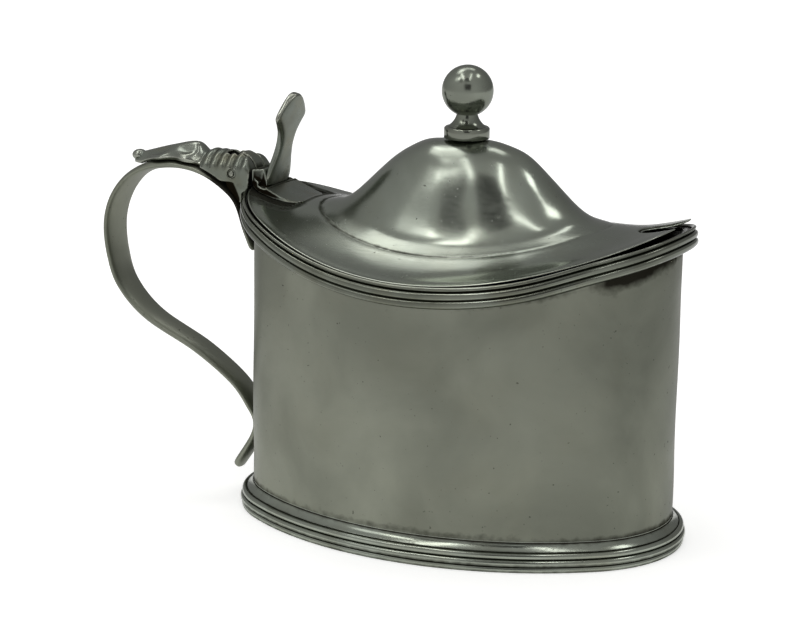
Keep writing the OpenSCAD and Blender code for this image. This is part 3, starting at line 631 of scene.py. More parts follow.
def lid_tree():
    """The rule of the lid: a saddle edge, a wide sweep, and a dome with a flared foot."""
    tree, names = node_tree("Saddle lid with a dome", {
        "Geometry": ("Geometry",),
        "Float": ("Edge height", "Edge rise", "Drum half length", "Half length", "Half width", "Sweep",
                  "Dome", "Dome half length", "Dome half width", "Roll", "Crease"),
        "Material": ("Finish",)})
    calculate(tree, names, [
        ("along", "DIVIDE", "x", "Half length"), ("along 2", "MULTIPLY", "along", "along"),
        ("across", "DIVIDE", "y", "Half width"), ("across 2", "MULTIPLY", "across", "across"),
        ("out 2", "ADD", "along 2", "across 2"), ("inside", "SUBTRACT", 1.0, "out 2"),
        ("in edge", "MAXIMUM", "inside", 0.0), ("in edge 2", "MULTIPLY", "in edge", "in edge"),
        ("saddle", "DIVIDE", "x", "Drum half length"), ("saddle 2", "MULTIPLY", "saddle", "saddle"),
        ("edge z", "MULTIPLY_ADD", "saddle 2", "Edge rise", "Edge height"),
        ("sweep z", "MULTIPLY_ADD", "in edge 2", "Sweep", "edge z"),
        ("dome x", "DIVIDE", "x", "Dome half length"), ("dome x2", "MULTIPLY", "dome x", "dome x"),
        ("dome y", "DIVIDE", "y", "Dome half width"),
        ("dome r2", "MULTIPLY_ADD", "dome y", "dome y", "dome x2"),
        ("dome r", "SQRT", "dome r2"), ("dome edge", "MINIMUM", "dome r", 1.0),
        ("dome round", "POWER", "dome edge", DOME_ROUND), ("dome in", "SUBTRACT", 1.0, "dome round"),
        ("dome share", "POWER", "dome in", float(DOME_SHARP)),
        ("dome z", "MULTIPLY_ADD", "dome share", "Dome", "sweep z"),
    ])
    for fold, place, width in (("roll", FOLD_ROLL, FOLD_ROLL_W), ("crease", FOLD_CREASE, FOLD_CREASE_W)):
        calculate(tree, names, [
            ("off", "SUBTRACT", "dome r", place), ("wide", "DIVIDE", "off", width),
            ("wide 2", "MULTIPLY", "wide", "wide"), ("less", "MULTIPLY", "wide 2", -1.0),
            (fold, "EXPONENT", "less"),
        ])
    calculate(tree, names, [
        ("rolled z", "MULTIPLY_ADD", "roll", "Roll", "dome z"), ("creased", "MULTIPLY", "crease", "Crease"),
        ("height", "SUBTRACT", "rolled z", "creased"),
    ])
    return close_tree(tree, names, names["Geometry"], "height")


def closed_curve(name, points):
    """A closed curve object from points in millimetres."""
    curve = bpy.data.curves.new(name, "CURVE")
    curve.dimensions = "3D"
    curve.twist_mode = "Z_UP"
    spline = curve.splines.new("POLY")
    spline.points.add(len(points) - 1)
    spline.points.foreach_set("co", np.c_[np.asarray(points) * MM, np.ones(len(points))].ravel())
    spline.use_cyclic_u = True
    return new_object(name, curve)


def reed(centre, r, start, end, steps):
    """Part of a circle, as the profile of a reed."""
    turn = np.radians(np.linspace(start, end, steps))
    return np.c_[centre[0] + r * np.cos(turn), centre[1] + r * np.sin(turn)]


def sweep_moulding(name, s, profile, height, saddle):
    """A moulding from a profile of distance from the drum and height."""
    path = closed_curve(name + "_path", np.c_[oval(s, 0), np.zeros(2 * (END_STEPS + SIDE_STEPS))])
    section = closed_curve(name + "_section", np.c_[profile * [1, -1], np.zeros(len(profile))])
    obj = new_object(name, bpy.data.meshes.new(name))
    shape_by_nodes(obj, moulding_tree(), {
        "Path": path, "Profile": section, "Height": height * MM, "Saddle": saddle,
        "Saddle radius": rim_radius(s) * MM, "Saddle lean": s.rim_lean * MM,
        "Finish": finish_of("silver_moulding")})
    for helper in (path, section):
        curve = helper.data
        bpy.data.objects.remove(helper)
        bpy.data.curves.remove(curve)
    tidy_mesh(obj.data, sharp=75)
    return obj


# One operator for each piece or group of pieces. Each rule for stains, with painted shade and light, or for
# film is a rule for mark_hollows.

# The rim bulges up near the spoon end: how far, where along the pot, and its half length.
RIM_LIFT, RIM_LIFT_X, RIM_LIFT_W = 0.65, 31, 8

# The drum: the rows up its wall, the plate's rings as shares of the oval, and the rounding of its edge.
WALL_ROWS = 46
PLATE_RINGS, PLATE_ROUND = (0.02, 0.35, 0.7, 0.97), 0.15
# Its uneven wall: how deep, its waves round and up, and the even bands at the foot and the rim.
DENT, LOW_BAND, HIGH_BAND = 0.07, 6, 7
WALL_WAVES = ((1, 5, 0.09, 0.6), (0.8, 9, -0.16, 0), (0.7, 3, 0.21, 0))
# How far down the rim reaches, in pitches. A black patch under it: its place along the pot and half sizes.
RIM_DEPTH = 2.65
PATCH_X, PATCH_HALF_L, PATCH_HALF_H = 35.8, 3.8, 2


def rim_lift(x):
    """How far the rim bulges up over its arc near the spoon end."""
    return bell(x - RIM_LIFT_X, RIM_LIFT_W, RIM_LIFT)


class POT_OT_drum(bpy.types.Operator):
    """Make the drum's wall and its bottom plate"""

    bl_idname = "pot.drum"
    bl_label = "Drum"

    def execute(self, context):
        s = sizes()
        up = np.linspace(0, 1, WALL_ROWS)
        rows = [(out, (lambda x, v=v: v * rim_z(s, x)), 1)
                for out, heights in ((0, up), (-s.wall, up[::-1])) for v in heights]
        wall = oval_loft("drum_wall", s, rows, wrap=True)
        shift_points(wall.data, self.uneven)
        dress(wall, "silver_satin", "pot", "drum", stain_and_painted_light=self.stain_and_painted_light, film=self.film)
        edge, top = -s.wall - SEAM, s.plate_t
        rows = [(edge, 0, scale) for scale in PLATE_RINGS]
        rows += [(edge - PLATE_ROUND, 0, 1), (edge, PLATE_ROUND, 1)]
        rows += [(edge, top - PLATE_ROUND, 1), (edge - PLATE_ROUND, top, 1)]
        rows += [(edge, top, scale) for scale in PLATE_RINGS[::-1]]
        plate = oval_loft("bottom_plate", s, rows, wrap=False)
        dress(plate, "silver_satin", "pot", "base_plate")
        return {"FINISHED"}

    @staticmethod
    def stain_and_painted_light(x, y, z, up):
        """Black tarnish with painted shade in the corners over the foot and under the rim, and black tarnish
        where a hand doesn't reach.
        """
        s = sizes()
        from_rim = rim_z(s, x) + rim_lift(x) - RIM_DEPTH * s.rim_pitch - z
        patch = np.hypot((x - PATCH_X) / PATCH_HALF_L, from_rim / PATCH_HALF_H)
        # The lines in the corners over the foot and under the rim: tarnish and painted shade.
        lines = bell(z - s.foot_h, width=0.6, height=1.2) + bell(from_rim, width=0.5, height=0.8)
        return lines + bell(patch, width=1, height=2.2) * (y < 0)

    @staticmethod
    def film(x, y, z):
        """The film is thickest high on the wall towards the spoon end, and over the foot."""
        end = ramp(x, start=-20, run=55) * ramp(z, start=4, run=26, least=0.35)
        return 0.42 * end + bell(z - 4, width=10, height=0.24)

    @staticmethod
    def uneven(x, y, z):
        """Leaves the wall a little uneven, as old rolled sheet is."""
        turn = np.arctan2(y, x)
        inside = np.minimum(z - LOW_BAND, rim_z(sizes(), x) - HIGH_BAND - z)
        out = DENT * waves(WALL_WAVES, turn, z) * ramp(inside, start=0, run=8)
        return out * np.cos(turn), out * np.sin(turn), 0 * z


# The reeds' angles, up from straight out: where reeds meet, and where coves start. COVE_BEND hollows coves.
GROOVE_TURN, FOOT_COVE_TURN, RIM_COVE_TURN, COVE_BEND = 66, 110, -80, 1.8
# The foot's reeds in radii: the lowest one's height, the step up, and how far each stands back, from the top.
FOOT_LOW, FOOT_STEP, FOOT_BACK = 0.8, 1.9, (0.5, 0, 0.4)
# The rim's reeds in pitches: radius, the highest one's height, how far each stands back, the cove's height.
RIM_R, RIM_TOP, RIM_BACK, RIM_COVE = 0.53, 0.1, (0.32, 0.06, 0), 0.22
# The rim's crown: radius, height and the ends of its arc. Its seat round the lid, and its film.
RIM_CROWN_R, RIM_CROWN_Z, RIM_CROWN_TURN = 0.4, -0.06, (165, 10)
RIM_SEAT, RIM_FILM = 0.08, 0.65


class POT_OT_mouldings(bpy.types.Operator):
    """Make the reeded mouldings of the foot and the rim"""

    bl_idname = "pot.mouldings"
    bl_label = "Foot and rim mouldings"

    def execute(self, context):
        s = sizes()
        foot = sweep_moulding("foot_reeds", s, self.foot_profile(s), 0, 0)
        dress(foot, "silver_moulding", "pot", "foot_moulding", passes=1, stain_and_painted_light=self.stain_and_painted_light)
        rim = sweep_moulding("rim_reeds", s, self.rim_profile(s), s.rim_h, 1)
        shift_points(rim.data, lambda x, y, z: (0 * x, 0 * y, rim_lift(x)))
        dress(rim, "silver_moulding", "pot", "rim_moulding", passes=1, stain_and_painted_light=self.stain_and_painted_light, film=even(RIM_FILM))
        return {"FINISHED"}

    @staticmethod
    def foot_profile(s):
        """Three reeds with a cove over them, as distances from the drum and heights."""
        r = s.foot_reed
        x, low, step = s.foot_out - r, FOOT_LOW * r, FOOT_STEP * r
        mids = [(x - back * r, low + (2 - i) * step) for i, back in enumerate(FOOT_BACK)]
        arcs = [(FOOT_COVE_TURN, -GROOVE_TURN, 18), (GROOVE_TURN, -GROOVE_TURN, 15),
                (GROOVE_TURN, -math.degrees(math.asin(FOOT_LOW)), 15)]
        reeds = [reed(mid, r, *arc) for mid, arc in zip(mids, arcs)]
        end_x, end_z = reeds[0][0]
        t = np.linspace(0, 1, 12, endpoint=False)
        cove = np.c_[SEAM + (end_x - SEAM) * t ** COVE_BEND, s.foot_h + (end_z - s.foot_h) * t]
        return np.concatenate([*reeds, [[SEAM, 0]], cove])

    @staticmethod
    def rim_profile(s):
        """A crown and three reeds with a cove under them, as distances from the drum and heights."""
        r = RIM_R * s.rim_pitch
        mids = [(s.rim_out - r - back * s.rim_pitch, (RIM_TOP - i) * s.rim_pitch)
                for i, back in enumerate(RIM_BACK)]
        arcs = [(-math.degrees(math.asin(RIM_TOP * s.rim_pitch / r)), -GROOVE_TURN, 10),
                (GROOVE_TURN, -GROOVE_TURN, 16), (GROOVE_TURN, RIM_COVE_TURN, 16)]
        reeds = [reed(mid, r, *arc) for mid, arc in zip(mids, arcs)]
        crown = reed((mids[0][0] + r - RIM_CROWN_R, RIM_CROWN_Z), RIM_CROWN_R, *RIM_CROWN_TURN, 12)
        end_x, end_z = reeds[-1][-1]
        t = np.linspace(0, 1, 13)[1:]
        cove = np.c_[SEAM + (end_x - SEAM) * (1 - t) ** COVE_BEND, end_z - RIM_COVE * s.rim_pitch * t]
        return np.concatenate([[[SEAM, 0], [s.lid_out + RIM_SEAT, 0]], crown, *reeds, cove])

    @staticmethod
    def stain_and_painted_light(x, y, z, up):
        """Painted shade on faces that look down, most of all low on the foot, and black tarnish with painted
        shade in the corner between the foot and the wall.
        """
        foot_h = sizes().foot_h
        low = ramp(z, start=0.55 * foot_h, run=-0.1 * foot_h)
        # Painted shade: faces that look down are darkened, most on the foot's lower reeds.
        down = (1 + 0.7 * low) * np.clip(0.65 * low - up, 0, 1)
        # Tarnish and painted shade in the corner between the foot and the wall.
        return down + bell(z - foot_h, width=0.3, height=2.2)


# The glass liner: the rounding of its foot, the radius of its inner corner, how far rows stay from bends, and
# the rings under it and on its floor as shares of the oval.
LINER_ROUND, LINER_CORNER, LINER_STEP = 0.5, 2.5, 1
LINER_UNDER, LINER_FLOOR = (0.02, 0.5, 0.96), (0.94, 0.5, 0.02)


class POT_OT_liner(bpy.types.Operator):
    """Make the loose glass liner"""

    bl_idname = "pot.liner"
    bl_label = "Glass liner"

    def execute(self, context):
        s = sizes()
        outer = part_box("glass_liner")[1].x / MM - s.drum_half_l
        inner, lip = outer - s.liner_wall, s.liner_wall / 2
        foot, floor, lip_z = s.plate_t, s.plate_t + s.liner_floor, s.liner_top - lip
        turn, bend = np.radians(np.linspace(0, 180, 13)), np.radians(np.linspace(0, 90, 9))
        corner, high = LINER_CORNER, lip_z - LINER_STEP
        rows = [(outer - 2 * LINER_ROUND, foot, scale) for scale in LINER_UNDER]
        rows += [(outer - LINER_ROUND, foot, 1), (outer, foot + LINER_ROUND, 1)]
        rows += [(outer, z, 1) for z in np.linspace(foot + 2 * LINER_STEP, high, 8)]
        rows += [(outer - lip + lip * math.cos(a), lip_z + lip * math.sin(a), 1) for a in turn]
        rows += [(inner, z, 1) for z in np.linspace(high, floor + corner + LINER_STEP, 8)]
        rows += [(inner - corner * (1 - math.cos(a)), floor + corner * (1 - math.sin(a)), 1) for a in bend]
        rows += [(inner - corner, floor, scale) for scale in LINER_FLOOR]
        liner = oval_loft("blue_liner", s, rows, wrap=False)
        dress(liner, "cobalt_glass", "pot", "glass_liner")
        return {"FINISHED"}


# The strap's middle line: distances behind the wall, and heights for a hinge at STRAP_LINE_H. The share of
# its length that tapers, the rounding of its corners at the wall, its section's roundness and its points.
STRAP_LINE = [(0, 46.5), (1.6, 50.2), (3.3, 54.8), (5.6, 57.3), (9.9, 59.8), (14.2, 60.9), (18.7, 60.9),
              (23.2, 59.9), (27.1, 57.6), (30.1, 53.6), (31.5, 48.6), (31, 42.6), (28.8, 36.7), (23.1, 31.2),
              (12.6, 26), (4.9, 20.7), (1.4, 16.3), (0.1, 13.5), (0.8, 10.3), (4, 5.2), (5, 3.7)]
STRAP_LINE_H = 60.6
STRAP_TAPER, STRAP_END_R, STRAP_ROUND = 0.55, 1.2, 0.92
STRAP_STEPS, STRAP_COLS, ARCH_POINTS = 14, 44, 10
# A rounded end keeps this share of its radius.
END_LEAST = 0.15
# Tarnish on the strap, with painted shade under the hinge, along and up: under the hinge, from its pin, and
# where the tail meets the wall.
UNDER_HINGE, AT_WALL = (-2, -6), (-41.2, 14)
# The leaf's crest: shares of its length from the hinge, and of its height. The places of its two lobes.
LEAF_CREST = [(1, 0.1), (0.88, 0.24), (0.6, 0.6), (0.43, 0.79), (0.27, 0.96), (0.165, 1), (0.1, 0.9),
              (0.03, 0.56), (0, 0.5)]
LEAF_LOBES = (0.22, 0.6)
# Its start behind the pin, its base over the pin as a share of its height, its lowest place under the pin,
# its edge as a share of the crest, its least thickness, and its underside as a share of its width.
SADDLE_BACK, LEAF_BASE, LEAF_LOW, LEAF_EDGE, LEAF_LEAST, LEAF_UNDER = 6.9, 0.3, 0.3, 0.22, 0.3, 0.9
# Its half width: a least share and one that follows a sine up to an angle, and the swell at the lobes.
LEAF_WIDTH, LEAF_WIDTH_TURN, LEAF_WIDTH_END, LEAF_SWELL = (0.16, 0.68), 150, 100, 0.1
# Its section: how round it is, and its hollows' depth, length, place across and width.
LEAF_ROUND, LEAF_DIP, LEAF_DIP_L, LEAF_DIP_Y, LEAF_DIP_W = 2.2, 0.36, 0.13, 0.56, 0.26
# The bead at its tip: radius, place from the tip, stretch and points. The leaf's points and grain, and how
# far it is cleaner than its hollows alone make it.
LEAF_BEAD, LEAF_BEAD_SHIFT, LEAF_BEAD_FORM, LEAF_BEAD_STEPS = 1.05, 0.6, (1.32, 1.5, 1), (32, 20)
LEAF_COLS, LEAF_STEPS, LEAF_GRAIN, LEAF_CLEAN = 65, 16, 0.09, 0.9


def strap_line(s):
    """The middle line of the handle's strap, and its outward directions, in the plane of the pot's length."""
    wall = -s.drum_half_l - SEAM - s.strap_t / 2
    line = smooth_line([(wall - d, z * HINGE_Z / STRAP_LINE_H) for d, z in STRAP_LINE], STRAP_STEPS)
    way = np.gradient(line, axis=0)
    way /= np.linalg.norm(way, axis=1)[:, None]
    return line, np.c_[way[:, 1], -way[:, 0]]


def rounded_end(distance, half, r):
    """Half a width that ends in a round of this radius."""
    return half - r + np.sqrt(np.maximum(r * r - np.maximum(r - distance, 0) ** 2, (END_LEAST * r) ** 2))


class POT_OT_handle(bpy.types.Operator):
    """Make the handle's strap and the leaf on its arch"""

    bl_idname = "pot.handle"
    bl_label = "Handle"

    def execute(self, context):
        s = sizes()
        dress(self.strap(s), "silver_satin", "pot", "handle_strap", stain_and_painted_light=self.stain_and_painted_light)
        dress(self.leaf(s), "silver_cast", "pot", "handle_leaf", passes=6, stain_and_painted_light=even(-LEAF_CLEAN))
        return {"FINISHED"}

    @staticmethod
    def stain_and_painted_light(x, y, z, up):
        """Black tarnish and painted shade on the strap under the hinge, and black tarnish where the strap
        meets the wall.
        """
        under_hinge = np.hypot(x - HINGE_X - UNDER_HINGE[0], z - HINGE_Z - UNDER_HINGE[1])
        at_wall = np.hypot(x - AT_WALL[0], z - AT_WALL[1])
        # The wide dark patch under the hinge is tarnish and painted shade.
        return bell(under_hinge, width=7, height=4.5) + bell(at_wall, width=1.6, height=1.2)

    @staticmethod
    def strap(s):
        """A flat strap with round edges, square at the wall and round at its tail."""
        line, out = strap_line(s)
        taper = np.minimum((1 - np.linspace(0, 1, len(line))) / STRAP_TAPER, 1)
        half = (s.strap_tail_w + (s.strap_top_w - s.strap_tail_w) * taper) / 2
        from_top, from_tail = (np.linalg.norm(line - end, axis=1) for end in (line[0], line[-1]))
        half_w = np.minimum(rounded_end(from_top, half, STRAP_END_R), rounded_end(from_tail, half, half))
        half_t = rounded_end(from_tail, s.strap_t / 2, s.strap_t / 2)
        turn = np.linspace(0, 2 * math.pi, STRAP_COLS, endpoint=False)
        side, face = (np.sign(v) * np.abs(v) ** STRAP_ROUND for v in (np.cos(turn), np.sin(turn)))
        rows = [np.c_[p[0] + n[0] * t * face, w * side, p[1] + n[1] * t * face]
                for p, n, w, t in zip(line, out, half_w, half_t)]
        return mesh_piece("strap", np.concatenate(rows), tube_faces(len(rows), STRAP_COLS))

    @staticmethod
    def leaf(s):
        """A leaf with two hollowed lobes on each side of its rib, and a bead at its tip."""
        line, out = strap_line(s)
        arch = (line + out * s.strap_t / 2)[:ARCH_POINTS * STRAP_STEPS]
        base_z, root_x = HINGE_Z + LEAF_BASE * s.leaf_h, HINGE_X - SADDLE_BACK - SEAM
        across = np.linspace(-1, 1, LEAF_COLS)
        a = np.abs(across)
        rows = []
        for u, share in smooth_line(LEAF_CREST, LEAF_STEPS):
            x, crest = root_x - u * s.leaf_l, base_z + s.leaf_h * share
            low = max(np.interp(-x, -arch[:, 0], arch[:, 1]) + SEAM, HINGE_Z - LEAF_LOW)
            edge = max(low + LEAF_LEAST, low + LEAF_EDGE * (crest - low))
            top = max(crest, edge + LEAF_LEAST)
            lobe = math.cos(2 * math.pi * (u - LEAF_LOBES[0]) / (LEAF_LOBES[1] - LEAF_LOBES[0]))
            plan = math.sin(math.radians(min(LEAF_WIDTH_TURN * (1 - u), LEAF_WIDTH_END)))
            half = s.leaf_w / 2 * (LEAF_WIDTH[0] + LEAF_WIDTH[1] * plan) * (1 + LEAF_SWELL * lobe)
            dip = sum(bell(u - place, LEAF_DIP_L) for place in LEAF_LOBES)
            shape = 1 - a ** LEAF_ROUND - LEAF_DIP * dip * bell(a - LEAF_DIP_Y, LEAF_DIP_W)
            under = half * LEAF_UNDER
            rows.append(np.concatenate([
                np.c_[np.full_like(a, x), across * half, edge + (top - edge) * shape],
                [[x, under, low], [x, -under, low]]]))
        leaf = mesh_piece("leaf", np.concatenate(rows), tube_faces(len(rows), len(rows[0])))
        tip = Matrix.Translation(Vector((root_x - s.leaf_l + LEAF_BEAD_SHIFT, 0, base_z)) * MM)
        with opened(leaf.data) as work:
            bmesh.ops.create_uvsphere(
                work, u_segments=LEAF_BEAD_STEPS[0], v_segments=LEAF_BEAD_STEPS[1], radius=LEAF_BEAD * MM,
                matrix=tip @ Matrix.Diagonal(LEAF_BEAD_FORM).to_4x4())
        return cast(leaf, LEAF_GRAIN, passes=2)


# The cheeks run down between the strap and the rim: outline along the pot and up, and extent across it.
WEDGE = [(-46.2, 59.6), (-46, 58.3), (-44.7, 57), (-43.45, 55.6), (-42.75, 55.6), (-42.75, 57.5),
         (-42.2, 57.8), (-41.5, 58), (-41.35, 59.6)]
WEDGE_Y = (1.75, 4.6)
# A fillet joins the knuckle's shelf and the thumbpiece's foot: its outline, and its extent across.
FILLET = [(-39.4, 58.6), (-39.4, 62), (-38.7, 62.2), (-38.1, 62.2), (-37.6, 60.5), (-37.6, 58.2)]
FILLET_Y = (-4.5, 4.5)
# Each end of the pin is a button in a sunk ring: shares of its radius, and depths.
PIN_END = [(0, 0), (0.3, 0.02), (0.5, 0.08), (0.6, 0.2), (0.66, 0.34), (0.95, 0.36), (1, 0.4)]
# The ring round the pin's ends, the film on the cheeks, and how far out the sides of the knuckle's foot lie.
PIN_RING_R, CHEEK_FILM, FOOT_SIDE_Y = 0.75, 0.3, 4.3


class POT_OT_hinge(bpy.types.Operator):
    """Make the hinge's cheeks, its pin, and the lid's knuckle with its foot"""

    bl_idname = "pot.hinge"
    bl_label = "Hinge"

    def execute(self, context):
        wedges = [[(x, side * y, z) for y in WEDGE_Y for x, z in WEDGE] for side in (1, -1)]
        cheeks = cast_copy("hinge_cheeks", "hinge_saddle", passes=70, extra=wedges)
        film = even(CHEEK_FILM)
        dress(cheeks, "silver_cast", "pot", "hinge_saddle", passes=16, stain_and_painted_light=self.stain_and_painted_light, film=film)
        fillet = [(x, y, z) for y in FILLET_Y for x, z in FILLET]
        knuckle = cast_copy("hinge_knuckle", "hinge_tongue", passes=20, extra=[fillet])
        shift_points(knuckle.data, self.thin_foot)
        dress(knuckle, "silver_cast", "lid", "hinge_tongue", passes=5, stain_and_painted_light=self.foot_stain_and_shade)
        low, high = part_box("hinge_pin")
        r, half = (high.x - low.x) / 2 / MM, (high.y - low.y) / 2 / MM
        end = [(share * r, half - depth) for share, depth in PIN_END]
        profile = [(a, -b) for a, b in end] + [(r, 0)] + end[::-1]
        pin = lathe("hinge_rivet", profile, steps=40, axis="Y", centre=(HINGE_X, 0, HINGE_Z))
        dress(pin, "silver_cast", "pot", "hinge_pin", passes=1, stain_and_painted_light=self.stain_and_painted_light)
        return {"FINISHED"}

    @staticmethod
    def stain_and_painted_light(x, y, z, up):
        """Black tarnish in the ring round the pin's ends, and tarnish with painted shade low down towards the
        strap.
        """
        ahead, above = x - HINGE_X, z - HINGE_Z
        ring = bell(np.hypot(ahead, above) - PIN_RING_R, width=0.2, height=1.8)
        behind = ramp(0.9 * ahead + 0.43 * above, start=-0.089, run=-1)
        # Low down towards the strap the cheeks and the pin are blackened: tarnish and painted shade.
        return ring + ramp(above, start=-1.4, run=-0.3) * (0.4 + 5 * behind)

    @staticmethod
    def foot_stain_and_shade(x, y, z, up):
        """Brown and black tarnish with painted shade down the sides of the foot, and under the thumbpiece."""
        ahead, above = x - HINGE_X, z - HINGE_Z
        near = np.abs(y) > FOOT_SIDE_Y
        steep = ramp(np.abs(up), start=0.7, run=-0.5)
        # The sides, the shelf and the low edges are darkened: brown tarnish and painted shade.
        sides = 2.6 * steep * ramp(ahead, start=14.5, run=-3) * ramp(above, start=0.2, run=-1.4) * near
        shelf = 2.6 * ramp(ahead, start=6.2, run=-0.6) * ramp(above, start=1.2, run=-0.8) * ~near
        edges = 1.1 * (above < 1.8) * (ahead < 8.5)
        return np.maximum(np.maximum(sides, shelf), edges) * ramp(ahead, start=2.9, run=0.8)

    @staticmethod
    def thin_foot(x, y, z):
        """Thins the foot to a feather edge on the lid."""
        lid = lid_z(sizes(), x, y)
        thin = 0.9 * ramp(x - HINGE_X, start=6.5, run=7.5) ** 1.3
        return 0 * x, 0 * y, np.where(z > lid, (lid - z) * thin, 0)


# The lid's sheet: the oval between its skirt and its dome as a share, the rings of both, how the skirt's
# rings crowd towards the edge, the innermost ring as a share, the peg's hole, and a step for finding slopes.
INNER_OVAL, SKIRT_RINGS, DOME_RINGS, SKIRT_CROWD, DOME_LEAST = 0.72, 22, 47, 1.4, 0.09
PEG_HOLE, TINY = 0.9, 0.01
# The sheet is thinned at its edge by this share, over one part in EDGE_IN of the skirt.
EDGE_THIN, EDGE_IN = 0.45, 8
# The spoon notch: its round end's radius as a share of its width, how far past the edge that is measured, its
# corners, and the points along each side, round its end and round each corner.
NOTCH_R, NOTCH_PAST, NOTCH_CORNER, NOTCH_STEPS = 0.37, 1, 0.5, (14, 27, 6)
# How far the far prong of the notch is bent up.
PRONG_LIFT = 0.5
# Dents in the dome: how deep, how fast they grow from its foot, and their waves.
DOME_DENT, DOME_DENT_GROWTH = 0.075, 1.5
DOME_WAVES = ((1, 0.62, 0.31, 0.4), (1, 0.27, -0.71, 0), (0.6, 0.95, 0.5, 2))
# A painted dark reflection on the dome: its place along and across.
PAINTED_REFLECTION = (11, -10.6)
# The hinge's foot on the lid: how far along the pot its front lies from the middle, half its width, how much
# faster its darkening ends ahead of it, and the darkening round it: distances from the foot, and how much
# there is.
FOOT_FRONT, FOOT_HALF_W, FOOT_AHEAD = 32.5, 6.2, 1.5
FOOT_DARKENING = ((0, 2.1, 2.4, 2.7, 4.2, 5.2), (2, 1.9, 0.4, 1.2, 1.05, 0))


def notch_form(s):
    """The spoon notch: the radius and the middle of its round end, and how its sides spread."""
    tip, r = s.drum_half_l + s.lid_out, NOTCH_R * s.notch_w
    x = tip - s.notch_l + r
    return r, x, (s.notch_w / 2 - r) / (tip + NOTCH_PAST - x)


def run_round(loop):
    """Distances along a closed loop of points, from its first point and back to it."""
    steps = np.linalg.norm(np.roll(loop, -1, axis=0) - loop, axis=1)
    return np.concatenate([[0], np.cumsum(steps)])


